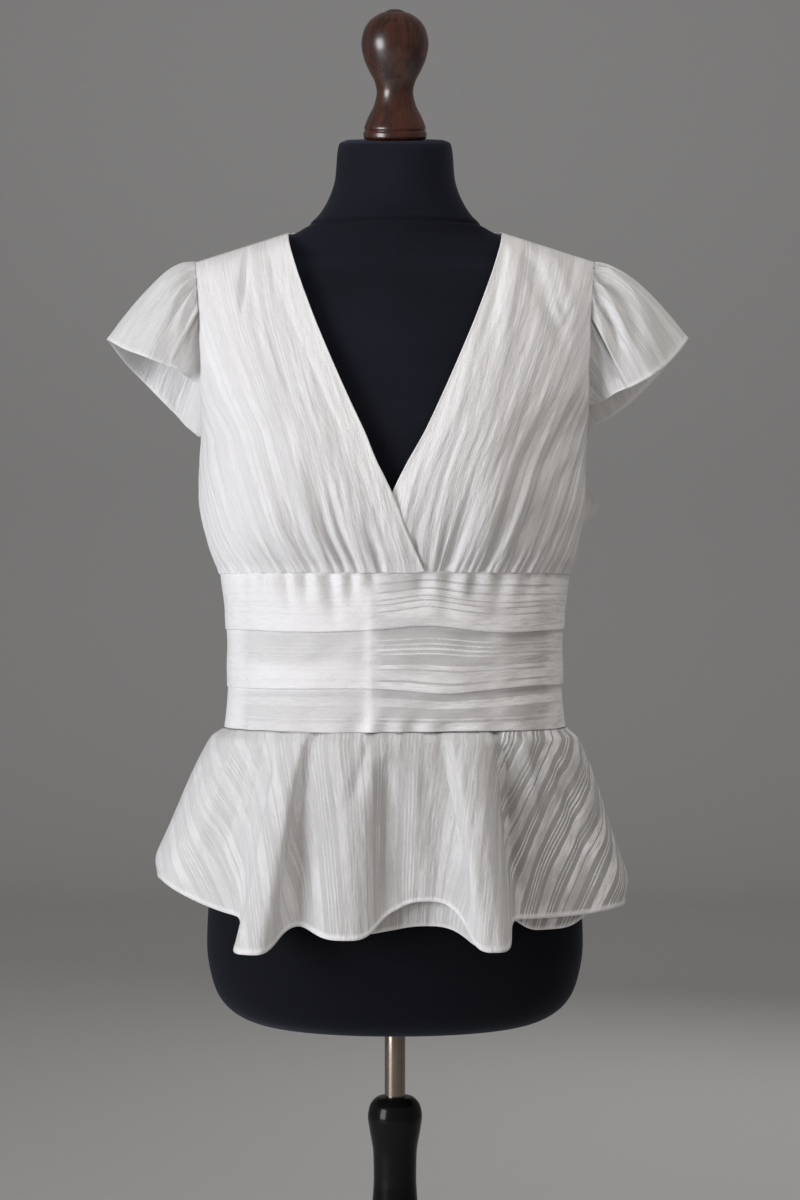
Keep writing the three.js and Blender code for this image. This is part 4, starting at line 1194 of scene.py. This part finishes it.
# %% [markdown]
# ## The finial
# The finial is turned with its own axis upright, and is then tipped with the neck that it stands
# on, which it clears by 0.3 mm.

# %% Finial
FINIAL = table(
    "r z",
    (26.5, 0), (28.4, 1.2), (29.2, 3.5), (29.0, 7), (27.8, 8.2), (27.9, 9.0), (28.4, 11), (24.5, 21),
    (19, 32), (16.8, 43), (18.6, 52), (23.8, 62), (28.8, 74), (30.8, 86), (28.6, 98), (22, 108),
    (12.5, 113.8), (9.5, 114.6), (8.6, 115.2), (4.5, 117),
)


def finial_piece():
    """The finial, tipped with the neck and seated on its top ring."""
    grid = spun(FINIAL, steps=4)
    cos, sin = math.cos(NECK_TILT), math.sin(NECK_TILT)
    tilt = np.array([[1, 0, 0], [0, cos, -sin], [0, sin, cos]])
    up = np.array([0, -sin, cos])
    seat = np.array([0, 1, NECK_TOP + math.tan(NECK_TILT)]) + up * 0.3
    piece = lofted("finial_wood", grid @ tilt.T + seat, "torso")
    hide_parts("finial")
    return piece


finial = finial_piece()

# %% [markdown]
# ## Pole, post and foot
# The pole is a plain tube with broken edges. It slides in the post, which stands on the round
# foot, and both are on the body that stays still. The post's lower part and the foot are out of
# the photograph, so they follow the stands that such forms are sold with.

# %% Stand
POLE = table("r z", (9.0, 118), (9.5, 118.6), (9.5, 400), (9.5, 631.4), (9.0, 632))
pole = turned("pole_tube", POLE, "pole", sides=64, steps=2)
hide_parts("pole")

POST = table(
    "r z",
    (29.4, 24.3), (30.6, 26), (31, 40), (25, 70), (20, 130), (21, 200), (26.5, 275), (27.5, 320),
    (23.5, 380), (19.6, 432), (20, 455), (23.6, 478), (25, 489), (22.8, 500), (16, 507), (11.5, 508),
)
post = turned("post_turning", POST, "stand", sides=96, steps=6)
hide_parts("post")

FOOT = table(
    "r z",
    (188.6, 0), (190.4, 0.8), (192, 3), (192, 10), (190.5, 13), (186, 15), (60, 21), (44, 23.2),
    (38, 24),
)
foot = turned("foot_disc", FOOT, "stand", sides=160, steps=5)
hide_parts("foot")

# %% [markdown]
# ## Wood, steel and lacquer
# The finial is a dark varnished hardwood: the colour is in the grain, and the varnish is a clear
# coat over it. The pole is a polished tube with fine marks along it from sliding in its post. The
# post and the foot are sprayed black, with a thin coat that is smooth enough to mirror the window.

# %% Hard finishes
def varnished_wood():
    material, shader, wire = new_material(
        "varnished_wood", Coat_Weight=1.0, Coat_Roughness=0.27, Coat_IOR=1.65,
        IOR=1.45, Specular_IOR_Level=0.1,
    )
    drawn_out = {"Vector": place_in_metres(wire), "Scale": (1.0, 1.0, 0.10)}
    pulled = wire.node("ShaderNodeMapping", {}, drawn_out)
    fibres = noise(wire, pulled, 260.0, 5.0)
    bands = noise(wire, pulled, 70.0, 2.0)
    tone = smoothstep(fibres * 0.55 + bands * 0.45, 0.36, 0.64)
    connect(shader, {
        "Base Color": tone.blend((0.016, 0.004, 0.0025), (0.060, 0.016, 0.008)),
        "Roughness": fibres.between(0.38, 0.52),
        "Normal": bump(fibres, 0.10, 0.0003),
    })
    return material


def polished_tube():
    material, shader, wire = new_material("polished_tube", Metallic=1.0)
    place = place_in_metres(wire)
    pulled = wire.node("ShaderNodeMapping", {}, {"Vector": place, "Scale": (1.0, 1.0, 0.015)})
    marks = noise(wire, pulled, 900.0, 3.0)
    stain = noise(wire, place, 40.0, 3.0)
    connect(shader, {
        "Base Color": stain.blend((0.24, 0.19, 0.15), (0.42, 0.36, 0.30)),
        "Roughness": marks.between(0.16, 0.34),
        "Normal": bump(marks, 0.06, 0.0002),
    })
    return material


def black_lacquer(name, color):
    material, shader, wire = new_material(
        name, Coat_Weight=0.22, Coat_Roughness=0.08, IOR=1.4, Specular_IOR_Level=0.08
    )
    place = place_in_metres(wire)
    orange_peel = noise(wire, place, 130.0, 1.0)
    dust = noise(wire, place, 24.0, 4.0)
    connect(shader, {
        "Base Color": dust.blend(color, tuple(v * 2 for v in color)),
        "Roughness": dust.between(0.22, 0.36),
        "Normal": bump(orange_peel, 0.08, 0.0006),
    })
    return material


show_on(finial, varnished_wood())
show_on(pole, polished_tube())
show_on(post, black_lacquer("post_black", (0.0035, 0.0035, 0.0035)))
show_on(foot, black_lacquer("foot_black", (0.004, 0.004, 0.0045)))
print("materials in all:", len(bpy.data.materials))

# %% [markdown]
# ## The backdrop
# The photograph's plain grey ground could be a bare colour, but then nothing would catch the
# shadow. So a sheet of pale paper is the floor, curves up well behind the object, and is the wall.

# %% Backdrop
FLOOR_FRONT, FLOOR_BACK = -4.5, 5.6  # metres
CURVE_RADIUS = 1.4
WALL_TOP = 6.0
HALF_WIDTH = 7.0


def paper_sweep():
    """A floor that curves up into a wall."""
    line = [(FLOOR_FRONT, 0.0), (FLOOR_BACK, 0.0)]
    for angle in np.linspace(0.1, math.pi / 2, 16):
        run, rise = CURVE_RADIUS * math.sin(angle), CURVE_RADIUS * (1 - math.cos(angle))
        line.append((FLOOR_BACK + run, rise))
    line.append((FLOOR_BACK + CURVE_RADIUS, WALL_TOP))
    points = [(x, y, z) for y, z in line for x in (-HALF_WIDTH, HALF_WIDTH)]
    faces = [(2 * i, 2 * i + 1, 2 * i + 3, 2 * i + 2) for i in range(len(line) - 1)]
    paper = smooth_object("studio_sweep", points, faces)
    material, _, _ = new_material("pale_paper", Roughness=0.9, Base_Color=(0.50, 0.505, 0.51, 1))
    show_on(paper, material)
    print("backdrop of", len(faces), "strips")


paper_sweep()

# %% [markdown]
# ## Light
# The photograph was taken in a room with daylight from the left, so a large soft light stands
# there. Weaker ones fill the front, the top and the back, and one lights the wall. Varnish and
# lacquer in the photograph mirror the window alone, so the fills are hidden from glossy rays.

# %% Lights
def soft_light(name, place, aim, size, power, color):
    """A rectangle of light that faces a point, with its power in watts."""
    lamp = bpy.data.lights.new(name, "AREA")
    lamp.shape, lamp.size, lamp.size_y = "RECTANGLE", size[0], size[1]
    lamp.energy, lamp.color = power, color
    light = bpy.data.objects.new(name, lamp)
    light.location = place
    light.rotation_euler = (Vector(aim) - Vector(place)).to_track_quat("-Z", "Y").to_euler()
    bpy.context.scene.collection.objects.link(light)
    return light


soft_light("window_light", (-2.35, -1.75, 1.10), (0, 0, 0.95), (1.2, 1.6), 66, (0.96, 0.972, 1.0))
fills = [
    soft_light("room_fill", (0.7, -3.4, 1.4), (0, 0, 1.0), (1.6, 1.4), 15, (1.0, 0.905, 0.815)),
    soft_light("top_light", (0.7, -0.7, 2.9), (0, 0, 1.1), (0.8, 0.8), 17, (1.0, 1.0, 0.98)),
    soft_light("backdrop_light", (0, 3.8, 3.6), (0, 7.0, 1.6), (5.0, 0.6), 24, (0.98, 0.99, 1.0)),
    soft_light("back_light", (1.0, 3.0, 2.1), (0, 0, 0.95), (1.6, 1.6), 24, (1.0, 0.99, 0.97)),
]
for fill in fills:
    fill.visible_glossy = False
room = bpy.data.worlds.new("room")
room.use_nodes = True
background = room.node_tree.nodes["Background"]
background.inputs["Color"].default_value = (0.88, 0.805, 0.755, 1)
background.inputs["Strength"].default_value = 0.215
bpy.context.scene.world = room
bpy.context.scene.view_settings.view_transform = "Standard"
print("one window and", len(fills), "fills")

# %% [markdown]
# ## Camera
# The camera is level with the waistband and 2.3 m in front of the pole, which is where the
# photograph's own proportions put it, and its lens follows from the height that the frame takes in.

# %% Camera
CAMERA_PLACE = (0.0046, -2.3, 0.964)
FRAME_HEIGHT = 1.104  # metres that the frame takes in at the pole
SENSOR_HEIGHT = 36.0

camera_data = bpy.data.cameras.new("photo_view")
camera_data.sensor_fit = "VERTICAL"
camera_data.sensor_height = SENSOR_HEIGHT
camera_data.lens = SENSOR_HEIGHT * -CAMERA_PLACE[1] / FRAME_HEIGHT
camera = bpy.data.objects.new("photo_view", camera_data)
camera.location = CAMERA_PLACE
camera.rotation_euler = (math.pi / 2, 0, 0)
bpy.context.scene.collection.objects.link(camera)
bpy.context.scene.camera = camera
print(f"lens of {camera_data.lens:.1f} mm")
